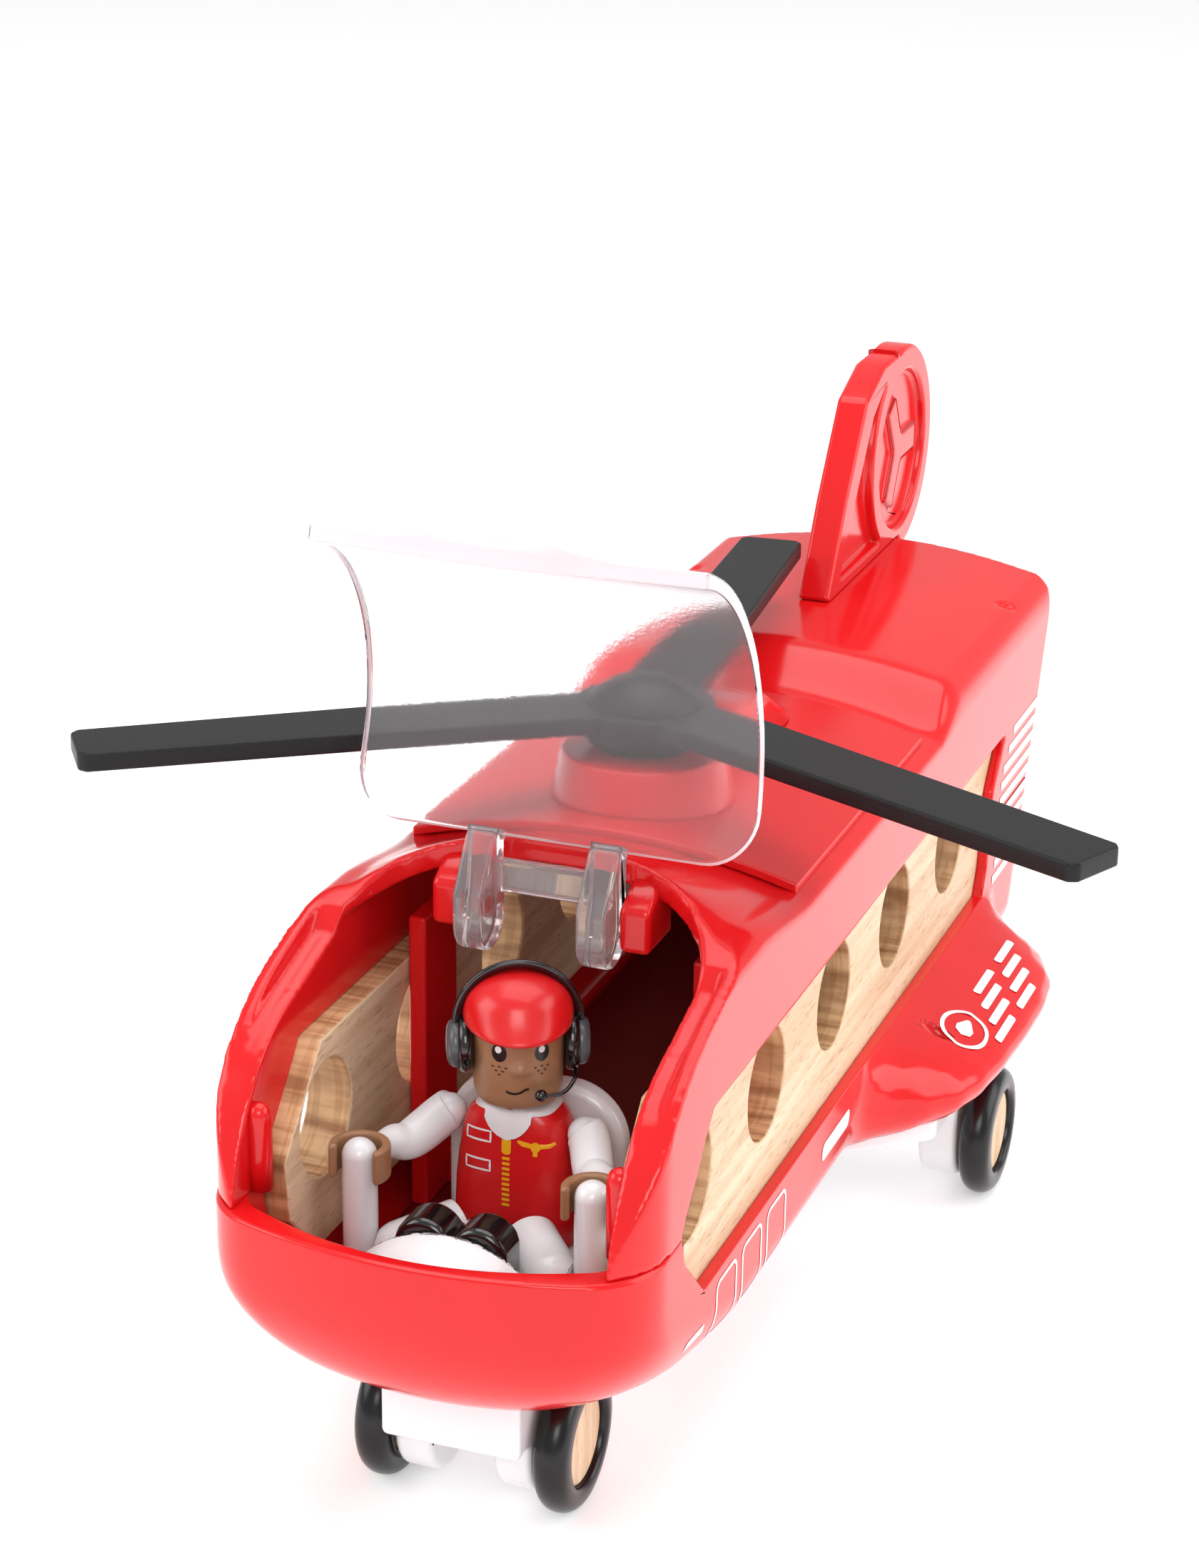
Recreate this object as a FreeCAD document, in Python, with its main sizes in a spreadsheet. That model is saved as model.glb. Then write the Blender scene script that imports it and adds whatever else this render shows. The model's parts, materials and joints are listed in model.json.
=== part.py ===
import FreeCAD, Part
import math
import os
import Sketcher

# Toy transport helicopter: red moulded fuselage, beech side walls, three-blade rotor,
# lifting canopy, pilot at two sticks, rear ramp and four wheels. Millimetres.
# The nose points to -Y, +Z is up and +X is the pilot's left. The origin is on the
# ground, in the symmetry plane, straight under the rotor shaft.

SIZES = {
    # fuselage
    "body_width": 70.0,
    "body_bottom": 24.0,
    "seam_height": 54.5,
    "nose_tip": 101.6,
    "nose_bow": 8.0,
    "nose_corner": 9.0,
    "chin_radius": 22.0,
    "bilge_radius": 8.0,
    "side_wall": 6.0,
    "bottom_wall": 3.0,
    "roof_wall": 4.0,
    "tail_foot": 113.5,
    "tail_top": 137.4,
    "roof_side": 83.5,
    "roof_top": 89.6,
    "brow_side": 86.0,
    "brow_top": 97.6,
    "brow_front": 41.0,
    "brow_back": 22.0,
    "hump_front": 56.0,
    "hump_slope": 14.0,
    "hump_side": 85.2,
    "hump_top": 95.0,
    "deck_thick": 1.4,
    "deck_inset": 2.5,
    "deck_back": 52.0,
    # wooden walls
    "window_front": 78.9,
    "window_back": 104.1,
    "window_low": 41.0,
    "window_high": 69.4,
    "board_thick": 7.6,
    "board_recess": 2.0,
    "board_lap": 2.6,
    "porthole": 9.2,
    "porthole_height": 58.65,
    "porthole_first": 69.5,
    "porthole_pitch": 35.6,
    # wheels and chassis
    "front_axle_place": 68.95,
    "rear_axle_place": 55.9,
    "wheel_radius": 11.6,
    "wheel_width": 5.6,
    "rim_radius": 7.4,
    "axle_radius": 1.25,
    "axle_play": 0.06,
    "front_track": 29.3,
    "rear_track": 93.9,
    "chassis_low": 14.0,
    "wide_low": 19.5,
    "lobe_low": 2.6,
    # rotor
    "rotor_radius": 92.0,
    "blade_root": 13.4,
    "blade_tip": 11.6,
    "blade_thick": 3.2,
    "blade_height": 103.2,
    "hub_radius": 11.5,
    "shaft_radius": 1.5,
    "shaft_play": 0.06,
    "mast_top_radius": 13.4,
    "mast_foot_radius": 16.8,
    "mast_top": 98.4,
    # canopy
    "pivot_back": 44.1,
    "pivot_height": 86.0,
    "canopy_radius": 33.6,
    "canopy_thick": 2.0,
    "canopy_centre_forward": 26.0,
    "canopy_centre_up": 30.3,
    "cheek_strip": 2.0,
    "canopy_side_play": 0.4,
    "canopy_lip_inset": 2.1,
    "lip_tab_width": 30.0,
    "lip_tab_rise": 2.2,
    "arm_gap": 15.0,
    "arm_width": 4.9,
    "pin_radius": 1.4,
    "pin_play": 0.05,
    # tail
    "fin_thick": 6.0,
    "ring_radius": 20.5,
    "ring_rim": 5.0,
    "ring_place": 139.2,
    "ring_height": 112.4,
    # ramp
    "ramp_width": 52.0,
    "ramp_thick": 3.4,
    "ramp_length": 50.0,
    "ramp_play": 0.4,
    # pod over each rear wheel
    "pod_bulge": 18.0,
    "pod_front": 12.0,
    "pod_back": 96.0,
    "pod_top": 47.0,
    # pilot and cockpit
    "pilot_place": 55.1,
    "head_radius": 7.2,
    "chin_height": 60.6,
    "cap_top": 81.0,
    "cap_wall": 1.2,
    "cap_brim": 72.8,
    "torso_width": 16.8,
    "shoulder_height": 55.6,
    "stick_spread": 37.4,
    "stick_place": 72.4,
    "stick_radius": 2.7,
    "stick_top": 57.6,
    "grip_play": 0.65,
    "head_turn": 25.0,
}

ROTOR_PHASE = 95.1
ROTOR_BLADES = 3
CANOPY_HINGE_ANGLE = -35.0
CANOPY_SWEEP = 118.0
TAB_ANGLE = 75.0
PORTHOLES = 5
FRAME_PLAY = 0.3

doc = FreeCAD.newDocument("helicopter")
sheet = doc.addObject("Spreadsheet::Sheet", "sizes")


class Size:
    """A number from the sheet, with the expression that gives it."""

    def __init__(self, value, text=None):
        self.value = float(value)
        self.text = text if text else repr(float(value))

    def join(self, other, sign, value):
        other = size(other)
        return Size(value, "(%s %s %s)" % (self.text, sign, other.text))

    def __add__(self, other):
        return self.join(other, "+", self.value + size(other).value)

    def __sub__(self, other):
        return self.join(other, "-", self.value - size(other).value)

    def __mul__(self, other):
        return self.join(other, "*", self.value * size(other).value)

    def __truediv__(self, other):
        return self.join(other, "/", self.value / size(other).value)

    def __radd__(self, other):
        return size(other) + self

    def __rsub__(self, other):
        return size(other) - self

    def __rmul__(self, other):
        return size(other) * self

    def __neg__(self):
        return Size(0) - self

    def __float__(self):
        return self.value


def size(number):
    return number if isinstance(number, Size) else Size(number)


for row, (alias, number) in enumerate(SIZES.items(), start=1):
    sheet.set("A%d" % row, alias)
    sheet.set("B%d" % row, str(number))
    sheet.setAlias("B%d" % row, alias)
doc.recompute()


def given(alias):
    return Size(sheet.get(alias), "sizes." + alias)


def bind(item, prop, number):
    """Ties a property to the sheet."""
    item.setExpression(prop, size(number).text)


def origin_plane(body, role):
    return next(f for f in body.Origin.OriginFeatures if f.Role == role)


def draw(body, name, role, outline, offset=0.0):
    """A closed sketch on one of the body's origin planes.

    Each corner is (u, v), or (u, v, radius, turn) where the side that arrives there is
    an arc: turn is +1 counterclockwise and -1 clockwise.
    """
    sketch = body.newObject("Sketcher::SketchObject", name)
    sketch.AttachmentSupport = [(origin_plane(body, role), "")]
    sketch.MapMode = "FlatFace"
    bind(sketch, "AttachmentOffset.Base.z", offset)
    corners = [(size(c[0]), size(c[1])) for c in outline]
    ends = []
    for i, corner in enumerate(outline):
        here = FreeCAD.Vector(float(corners[i - 1][0]), float(corners[i - 1][1]), 0)
        there = FreeCAD.Vector(float(corners[i][0]), float(corners[i][1]), 0)
        if len(corner) == 2:
            side = sketch.addGeometry(Part.LineSegment(here, there))
            ends.append((side, 1, 2))
            continue
        radius, turn = float(corner[2]), corner[3]
        half = (there - here) / 2
        across = FreeCAD.Vector(-half.y, half.x, 0).normalize() * turn
        centre = here + half + across * math.sqrt(max(radius**2 - half.Length**2, 0))
        first, last = (here, there) if turn > 0 else (there, here)
        a, b = (math.atan2(p.y - centre.y, p.x - centre.x) for p in (first, last))
        circle = Part.Circle(centre, FreeCAD.Vector(0, 0, 1), radius)
        side = sketch.addGeometry(Part.ArcOfCircle(circle, a, b if b > a else b + 2 * math.pi))
        ends.append((side, 1, 2) if turn > 0 else (side, 2, 1))
        rule = sketch.addConstraint(Sketcher.Constraint("Radius", side, radius))
        sketch.setExpression("Constraints[%d]" % rule, size(corner[2]).text)
    for i, (side, start, end) in enumerate(ends):
        following = ends[(i + 1) % len(ends)]
        joint = Sketcher.Constraint("Coincident", side, end, following[0], following[1])
        sketch.addConstraint(joint)
        for kind, number in zip(("DistanceX", "DistanceY"), corners[i]):
            rule = sketch.addConstraint(
                Sketcher.Constraint(kind, -1, 1, side, end, float(number))
            )
            sketch.setExpression("Constraints[%d]" % rule, number.text)
    return sketch


def slab(name, role, outline, low, high):
    """A body padded between two places along its sketch plane's axis."""
    body = doc.addObject("PartDesign::Body", name)
    start = -size(high) if role == "XZ_Plane" else size(low)
    sketch = draw(body, name + "_outline", role, outline, start)
    pad = body.newObject("PartDesign::Pad", name + "_pad")
    pad.Profile = sketch
    bind(pad, "Length", size(high) - size(low))
    return body


def turned(name, role, outline, axis, angle=360.0):
    """A body turned about one of its sketch's own axes."""
    body = doc.addObject("PartDesign::Body", name)
    sketch = draw(body, name + "_outline", role, outline)
    turn = body.newObject("PartDesign::Revolution", name + "_turn")
    turn.Profile = sketch
    turn.ReferenceAxis = (sketch, [axis])
    turn.Angle = angle
    return body


def place(item, x=0.0, y=0.0, z=0.0, axis=(0, 0, 1), angle=0.0):
    item.Placement = FreeCAD.Placement(
        FreeCAD.Vector(float(x), float(y), float(z)), FreeCAD.Rotation(FreeCAD.Vector(*axis), float(angle))
    )
    for letter, number in zip("xyz", (x, y, z)):
        if isinstance(number, Size):
            bind(item, "Placement.Base." + letter, number)
    return item


def rounded(body, name, radius, chosen):
    """Rounds the edges that the test picks."""
    doc.recompute()
    base = body.Tip
    edges = ["Edge%d" % i for i, e in enumerate(base.Shape.Edges, start=1) if chosen(e)]
    fillet = body.newObject("PartDesign::Fillet", name)
    fillet.Base = (base, edges)
    bind(fillet, "Radius", radius)
    return body


def primitive(kind, name, **sizes):
    item = doc.addObject("Part::" + kind, name)
    for prop, number in sizes.items():
        bind(item, prop, number)
    return item


def rod(name, radius, length, x=0.0, y=0.0, z=0.0, along="z"):
    """A cylinder centred on the given point."""
    item = primitive("Cylinder", name, Radius=radius, Height=length)
    axis, angle = {"x": ((0, 1, 0), 90), "y": ((1, 0, 0), -90), "z": ((0, 0, 1), 0)}[along]
    start = {"x": x, "y": y, "z": z}
    start[along] = size(start[along]) - size(length) / 2
    return place(item, start["x"], start["y"], start["z"], axis, angle)


def limb(name, start, end, first, last):
    """A tapered rod between two points."""
    line = end - start
    item = doc.addObject("Part::Cone", name)
    bind(item, "Radius1", first)
    bind(item, "Radius2", last)
    item.Height = line.Length
    turn = FreeCAD.Rotation(FreeCAD.Vector(0, 0, 1), line)
    item.Placement = FreeCAD.Placement(start, turn)
    return item


def box(name, low, high):
    spans = [size(b) - size(a) for a, b in zip(low, high)]
    item = primitive("Box", name, Length=spans[0], Width=spans[1], Height=spans[2])
    return place(item, *low)


def fuse(name, *pieces):
    item = doc.addObject("Part::MultiFuse", name)
    item.Shapes = list(pieces)
    item.Refine = True
    return item


def common(name, *pieces):
    item = doc.addObject("Part::MultiCommon", name)
    item.Shapes = list(pieces)
    item.Refine = True
    return item


def cut(name, base, *tools):
    item = doc.addObject("Part::Cut", name)
    item.Base = base
    item.Tool = tools[0] if len(tools) == 1 else fuse(name + "_cutters", *tools)
    item.Refine = True
    return item


def mirrored(name, item):
    """The same piece on the other side of the symmetry plane."""
    twin = doc.addObject("Part::Mirroring", name)
    twin.Source = item
    twin.Normal = (1, 0, 0)
    return twin


def lofted(name, sections):
    """A body through cross-sections that stand across the length."""
    body = doc.addObject("PartDesign::Body", name)
    drawn = []
    for i, (along, outline) in enumerate(sections):
        drawn.append(draw(body, "%s_section_%d" % (name, i), "XZ_Plane", outline, -size(along)))
    loft = body.newObject("PartDesign::AdditiveLoft", name + "_loft")
    loft.Profile = drawn[0]
    loft.Sections = drawn[1:]
    loft.Ruled = True
    return body


parts = {}


def keep(label, item):
    item.Label = label
    parts[label] = item
    return item


half_width = given("body_width") / 2
seam = given("seam_height")
bottom = given("body_bottom")
nose_tip = given("nose_tip")
nose_side = nose_tip - given("nose_bow")
inner_half = half_width - given("side_wall")
tail_foot = given("tail_foot")
tail_top = given("tail_top")
FAR = 400.0


def plan(name, half, tip, low, high):
    """The fuselage seen from above: straight sides and a bowed nose."""
    bow = given("nose_bow")
    radius = (half * half + bow * bow) / (bow * 2)
    outline = [(-half, FAR), (-half, bow - tip), (half, bow - tip, radius, 1), (half, FAR)]
    body = slab(name, "XY_Plane", outline, low, high)
    front = float(bow - tip)

    def at_nose_corner(edge):
        ends = edge.Vertexes
        upright = len(ends) == 2 and abs(ends[0].Z - ends[1].Z) > 1
        return upright and all(abs(v.Y - front) < 0.01 for v in ends)

    return rounded(body, name + "_corners", given("nose_corner"), at_nose_corner)


slope_top = seam + 27.5


def profile(name, inset, tail_inset):
    """The fuselage seen from the side: round chin and slanted tail."""
    front = inset - nose_tip
    floor = bottom + inset
    chin = given("chin_radius") - inset
    outline = [
        (front, FAR / 2),
        (front, floor + chin),
        (front + chin, floor, chin, 1),
        (tail_foot - tail_inset, floor),
        (tail_top - tail_inset, slope_top),
        (tail_top - tail_inset, FAR / 2),
    ]
    return slab(name, "YZ_Plane", outline, -FAR, FAR)


def roof_outline(half, base, side, shoulder, top, chamfer):
    """A cross-section with upright sides and a crowned top."""
    across = half - chamfer
    rise = size(top) - shoulder
    radius = (across * across + rise * rise) / (rise * 2)
    return [
        (-half, base),
        (half, base),
        (half, side),
        (across, shoulder),
        (-across, shoulder, radius, 1),
        (-half, side),
    ]


# ---- Fuselage shells

def hull_section():
    r = given("bilge_radius")
    outline = [
        (-half_width, FAR / 2),
        (-half_width, bottom + r),
        (r - half_width, bottom, r, 1),
        (half_width - r, bottom),
        (half_width, bottom + r, r, 1),
        (half_width, FAR / 2),
    ]
    return slab("hull_section", "XZ_Plane", outline, -FAR, FAR)


def window_outline(grow, nose):
    """The side opening, or the board behind it, which is larger all round."""
    low = given("window_low") - grow
    high = given("window_high") + grow
    front = -given("window_front") - nose
    back = given("window_back") + grow
    return [
        (front + 10.4, low),
        (back - 12.5, low),
        (back - 9.8, low + 5.0),
        (back - 8.0, low + 19.5),
        (back, high),
        (front + 13.4, high),
        (front, high - 14.4),
        (front + 1.6, low + 8.6),
    ]


lap = given("board_lap")
board_nose = lap * 2
board_out = half_width - given("board_recess")
board_in = board_out - given("board_thick")
window_cutter = slab("window_cutter", "YZ_Plane", window_outline(0.0, 0.0), -FAR, FAR)
board_cutter = slab("board_cutter", "YZ_Plane", window_outline(lap, board_nose), -board_out, board_out)

bottom_wall = given("bottom_wall")
tail_wall = bottom_wall + 1.4
floor_height = bottom + bottom_wall
nose_wall = 2.6
hull_outer = common(
    "hull_outer",
    plan("hull_plan", half_width, nose_tip, bottom, seam),
    profile("hull_profile", 0.0, 0.0),
    hull_section(),
)
cavity_profile = profile("cavity_profile", bottom_wall, tail_wall)
hull_cavity = common(
    "hull_cavity",
    plan("hull_inner_plan", inner_half, nose_tip - nose_wall, floor_height, seam + 1),
    cavity_profile,
)

pod_reach = half_width + given("pod_bulge")
pod_top = given("pod_top")
pod_front = given("pod_front")
pod_back = given("pod_back")
pod_plan = slab(
    "pod_plan",
    "XY_Plane",
    [
        (half_width - 4, pod_front),
        (half_width + 3.5, pod_front + 5.0, 12.0, 1),
        (pod_reach - 4, pod_front + 15.5, 20.0, 1),
        (pod_reach - 0.8, pod_front + 31.0, 34.0, 1),
        (pod_reach, pod_front + 55.0, 160.0, 1),
        (pod_reach - 3.5, pod_back - 12.0, 90.0, 1),
        (half_width - 4, pod_back, 24.0, 1),
    ],
    bottom,
    pod_top + 5,
)
pod_section = slab(
    "pod_section",
    "XZ_Plane",
    [
        (inner_half + 1, bottom),
        (pod_reach - 5, bottom + 1.0),
        (pod_reach, bottom + 7.0, 6.5, 1),
        (pod_reach - 2, bottom + 14.0, 12.0, 1),
        (half_width, pod_top),
        (inner_half + 1, pod_top),
    ],
    -FAR,
    FAR,
)
pod_inside = box("pod_inside", (0.0, -FAR, 0.0), (inner_half + 3, FAR, FAR))
pod_left = cut("pod_left", common("pod", pod_plan, pod_section), pod_inside)

pivot_y = -given("pivot_back")
pivot_z = given("pivot_height")
ramp_thick = given("ramp_thick")
ramp_half = given("ramp_width") / 2
ramp_length = given("ramp_length")
ramp_play = given("ramp_play")
RAMP_SILL = 8.5
slope = FreeCAD.Vector(0, float(tail_top - tail_foot), float(slope_top - bottom))
slope.normalize()
outward = FreeCAD.Vector(0, slope.z, -slope.y)
tail_line = FreeCAD.Vector(0, float(tail_foot), float(bottom))
ramp_pivot = tail_line + slope * RAMP_SILL - outward * float(ramp_thick / 2)
ramp_turn = FreeCAD.Rotation(FreeCAD.Vector(0, 0, 1), slope)


def on_ramp(item, x=0.0, y=0.0, z=0.0):
    """Stands a piece that was drawn upright on the ramp's pivot, in line with the tail."""
    shift = FreeCAD.Vector(float(x), float(y), float(z))
    item.Placement = FreeCAD.Placement(ramp_pivot + ramp_turn.multVec(shift), ramp_turn)
    return item


def ramp_block(name, length, half, edge):
    outline = [(-edge, ramp_play - edge), (edge, ramp_play - edge), (edge, length), (-edge, length)]
    return on_ramp(slab(name, "YZ_Plane", outline, -half, half))


ramp_cutter = ramp_block("ramp_cutter", ramp_length + ramp_play, ramp_half + ramp_play, ramp_thick / 2 + 6.0)
sill_block = ramp_thick / 2 + ramp_play
ramp_cutter_low = rod("ramp_cutter_low", sill_block, (ramp_half + ramp_play) * 2, along="x")
ramp_pin = rod("ramp_pin_rod", 1.0, ramp_half * 2 + 5, 0.0, ramp_pivot.y, ramp_pivot.z, "x")

front_axle_y = -given("front_axle_place")
rear_axle_y = given("rear_axle_place")
wheel_radius = given("wheel_radius")
SCREW_PLACES = [(0.0, -48.0), (0.0, -4.0), (24.0, 34.0), (-24.0, 34.0)]
chassis_low = given("chassis_low")
wide_low = given("wide_low")


def screw(name, x, y, head_low):
    head = rod(name + "_head", 2.6, 1.6, x, y, head_low + 0.8)
    top = floor_height - 0.4
    reach = top - head_low - 1.6
    return fuse(name, head, rod(name + "_shank", 1.2, reach, x, y, top - reach / 2))


screw_solids = []
for i, (x, y) in enumerate(SCREW_PLACES):
    screw_solids.append(screw("screw_%d" % i, x, y, chassis_low if x == 0.0 else wide_low))
screw_group = doc.addObject("Part::Compound", "screw_group")
screw_group.Links = screw_solids
keep("chassis_screws", screw_group)

corner_low = (inner_half - 3.4, -88.5, floor_height)
corner_block = box("corner_block", corner_low, (inner_half + 1, -78.5, seam - 0.5))
hull_shell = cut("hull_shell", hull_outer, hull_cavity)
hull_whole = fuse(
    "hull_whole",
    hull_shell,
    pod_left,
    mirrored("pod_right", pod_left),
    corner_block,
    mirrored("corner_block_right", corner_block),
)
hull_cutters = [window_cutter, board_cutter, ramp_cutter, ramp_cutter_low, ramp_pin, screw_group]
keep("lower_hull", cut("lower_hull_cut", hull_whole, *hull_cutters))

roof_side = given("roof_side")
roof_top = given("roof_top")
roof_shoulder = roof_side + 1.6
brow_front = -given("brow_front")
brow_back = -given("brow_back")
brow_side = given("brow_side")
brow_top = given("brow_top")
hump_front = given("hump_front")
hump_back = hump_front + given("hump_slope")
hump_side = given("hump_side")
hump_top = given("hump_top")
hump_shoulder = hump_side + 5.6
roof_wall = given("roof_wall")
CHAMFER = 3.4
stations = [
    (brow_front, brow_side, brow_side + 2.4, brow_top),
    (brow_back, roof_side, roof_shoulder, roof_top),
    (hump_front, roof_side, roof_shoulder, roof_top),
    (hump_back, hump_side, hump_shoulder, hump_top),
    (tail_top + 2, hump_side, hump_shoulder, hump_top),
]
outer_sections = []
inner_sections = []
for y, side, shoulder, top in stations:
    outer_sections.append((y, roof_outline(half_width, seam, side, shoulder, top, CHAMFER)))
    inside = shoulder - roof_wall
    inner_sections.append((y, roof_outline(inner_half, seam - 1, inside - 1.2, inside, top - roof_wall, 1.4)))
roof_solid = lofted("roof_solid", outer_sections)
roof_hollow = lofted("roof_hollow", inner_sections)

# The cheeks beside the windscreen: a ledge that the closed canopy lies on, between thin
# outer strips that carry the body's outline up to the arch.
cheek_back = brow_front - 13.7


def cheek(name, back_top, low_x, high_x):
    outline = [
        (-nose_side - 1.0, seam, 58.0, 1),
        (brow_front + 2, seam),
        (brow_front + 2, brow_side + 0.6),
        (cheek_back, brow_side + 0.6),
        (cheek_back, back_top),
        (cheek_back - 11.3, seam + 29.7),
        (cheek_back - 18.3, seam + 27.5),
    ]
    return slab(name, "YZ_Plane", outline, low_x, high_x)


strip_in = half_width - given("cheek_strip")
ledge = cheek("cheek_ledge", seam + 27.2, inner_half, strip_in)
strip = cheek("cheek_strip", brow_side - 0.4, strip_in, half_width)
cheek_left = fuse("cheek_left", ledge, strip)
cheek_pair = fuse("cheek_pair", cheek_left, mirrored("cheek_right", cheek_left))
upper_outer = common(
    "upper_outer",
    fuse("upper_block", roof_solid, cheek_pair),
    plan("upper_plan", half_width, nose_tip - 0.8, seam, FAR / 2),
    profile("upper_profile", 0.0, 0.0),
)
upper_cavity = common("upper_cavity", roof_hollow, cavity_profile)

arm_in = given("arm_gap") / 2
arm_out = arm_in + given("arm_width")
pin_radius = given("pin_radius")
pin_play = given("pin_play")
lug_in = arm_out + 0.4
lug_out = lug_in + 5.0
lug_low = pivot_z - 3.6
lug = box("lug_block", (lug_in, pivot_y - 2.7, lug_low), (lug_out, brow_front + 5, pivot_z + 4.4))
lug_web = box("lug_web", (lug_in, brow_front, lug_low), (lug_out, brow_front + 5, brow_top - 4.2))
lug_left = fuse("lug_left", lug, lug_web)
pin_reach = lug_out - 0.8
lug_bore = rod("lug_bore", pin_radius + pin_play, pin_reach * 2 + 0.6, 0.0, pivot_y, pivot_z, "x")
post = rod("corner_post", 1.9, 14.0, inner_half - 0.9, -83.6 - 3.2, seam + 7)
shaft_radius = given("shaft_radius")
shaft_bore = rod("shaft_bore", shaft_radius + given("shaft_play"), 60.0, 0.0, 0.0, 90.0)
upper_whole = fuse(
    "upper_whole",
    cut("upper_shell_block", upper_outer, upper_cavity),
    lug_left,
    mirrored("lug_right", lug_left),
    post,
    mirrored("post_right", post),
)
upper_cutters = [window_cutter, board_cutter, ramp_cutter, lug_bore, shaft_bore]
keep("upper_shell", cut("upper_shell_cut", upper_whole, *upper_cutters))

# ---- Roof fittings

deck_half = half_width - given("deck_inset")
deck_rise = roof_top - roof_shoulder
deck_edge = roof_shoulder + given("deck_thick")
deck_block = slab(
    "deck_block",
    "XZ_Plane",
    [
        (-deck_half, roof_side),
        (deck_half, roof_side),
        (deck_half, deck_edge),
        (-deck_half, deck_edge, (deck_half * deck_half + deck_rise * deck_rise) / (deck_rise * 2), 1),
    ],
    brow_back + 2,
    given("deck_back"),
)
keep("roof_deck", cut("deck_cut", deck_block, roof_solid, shaft_bore))

mast_top = given("mast_top")
mast_foot = given("mast_foot_radius")
mast_height = mast_top - roof_side
mast_head = given("mast_top_radius")
mast_cone = primitive("Cone", "mast_cone", Radius1=mast_foot, Radius2=mast_head, Height=mast_height)
place(mast_cone, 0.0, 0.0, roof_side)
keep("rotor_mast", cut("mast_cut", mast_cone, roof_solid, deck_block, shaft_bore))

cowl_front = mast_foot + 0.2
cowl_top = mast_top + 1.2
cowl_block = slab(
    "cowl_block",
    "YZ_Plane",
    [
        (cowl_front, roof_side),
        (cowl_front + 28, roof_side),
        (cowl_front + 28, roof_top + 1),
        (cowl_front + 12, cowl_top),
        (cowl_front + 1, cowl_top),
        (cowl_front, cowl_top - 1),
    ],
    -12.0,
    12.0,
)


def on_cowl_shoulder(edge):
    room = edge.BoundBox
    return room.ZMin > float(roof_top) and room.XLength < 0.1 and room.YLength > 5


rounded(cowl_block, "cowl_edges", 3.0, on_cowl_shoulder)
keep("engine_cowl", cut("cowl_cut", cowl_block, roof_solid, deck_block))

ring_y = given("ring_place")
ring_z = given("ring_height")
ring_radius = given("ring_radius")
dish_radius = ring_radius - given("ring_rim")
fin_half = given("fin_thick") / 2
fin_foot = ring_y - 47.5
strip = hump_top + 2.2
fin_spar = slab(
    "fin_spar",
    "YZ_Plane",
    [
        (fin_foot, hump_top - 3),
        (ring_y - 2.0, hump_top - 3),
        (ring_y - 2.0, strip),
        (fin_foot + 8.0, strip),
        (fin_foot + 16.2, ring_z - 2.4),
        (ring_y - 21.0, ring_z + 11.1),
        (ring_y - 13.2, ring_z + 15.8),
        (ring_y - 4.7, ring_z + 17.6),
        (ring_y - 5.2, ring_z + 20.2),
        (ring_y - 14.9, ring_z + 20.1),
        (ring_y - 26.1, ring_z + 15.9),
        (ring_y - 37.9, ring_z - 0.4),
        (fin_foot, hump_top + 1.0),
    ],
    -fin_half,
    fin_half,
)
fin_web = slab(
    "fin_web",
    "YZ_Plane",
    [
        (fin_foot + 6.0, hump_top),
        (ring_y, hump_top),
        (ring_y, ring_z),
        (ring_y - 16.0, ring_z + 13.0),
        (fin_foot + 13.0, ring_z - 2.0),
    ],
    -1.1,
    1.1,
)
ring_disc = rod("ring_disc", ring_radius, fin_half * 2, 0.0, ring_y, ring_z, "x")
dish = rod("ring_dish", dish_radius, FAR, 0.0, ring_y, ring_z, "x")
dish_floor = rod("dish_floor", ring_radius - 1, 2.4, 0.0, ring_y, ring_z, "x")
relief = [rod("relief_hub", 3.0, 4.4, 0.0, ring_y, ring_z, "x")]
for i in range(3):
    blade = primitive("Box", "relief_blade_%d" % i, Length=4.4, Width=5.6, Height=dish_radius - 4)
    turn = FreeCAD.Rotation(FreeCAD.Vector(1, 0, 0), 30 + 120 * i)
    corner = turn.multVec(FreeCAD.Vector(-2.2, -2.8, 0))
    blade.Placement = FreeCAD.Placement(corner + FreeCAD.Vector(0, float(ring_y), float(ring_z)), turn)
    relief.append(blade)
ring = fuse("fin_ring", cut("ring_hollow", ring_disc, dish), dish_floor, *relief)
fin_plates = cut("fin_plates", fuse("fin_plates_whole", fin_spar, fin_web), dish)
keep("tail_fin", cut("fin_cut", fuse("fin_whole", ring, fin_plates), roof_solid))

# ---- Wooden walls

portholes = []
for i in range(PORTHOLES):
    along = given("porthole_pitch") * i - given("porthole_first")
    hole = rod("porthole_%d" % i, given("porthole"), FAR, 0.0, along, given("porthole_height"), "x")
    portholes.append(hole)
board = slab("board", "YZ_Plane", window_outline(lap, board_nose), board_in, board_out)
board_left = cut("board_left", board, *portholes)
keep("wood_wall_left", board_left)
keep("wood_wall_right", mirrored("board_right", board_left))

# ---- Rear ramp

ramp_edge = ramp_thick / 2
ramp_plate = slab(
    "ramp_plate",
    "YZ_Plane",
    [
        (-ramp_edge, 0.0),
        (0.0, -ramp_edge, ramp_edge, 1),
        (ramp_edge, 0.0, ramp_edge, 1),
        (ramp_edge, ramp_length),
        (-ramp_edge, ramp_length),
    ],
    -ramp_half,
    ramp_half,
)
ramp_bore = rod("ramp_bore", 1.0 + 0.06, ramp_half * 4, 0.0, ramp_pivot.y, ramp_pivot.z, "x")
grip = primitive("Box", "ramp_grip", Length=18.0, Width=2.0, Height=5.0)
on_ramp(grip, -9.0, ramp_edge - 1, ramp_length - 9)
keep("rear_ramp", cut("ramp_cut", on_ramp(ramp_plate), ramp_bore, grip))
keep("ramp_pin", ramp_pin)

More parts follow.
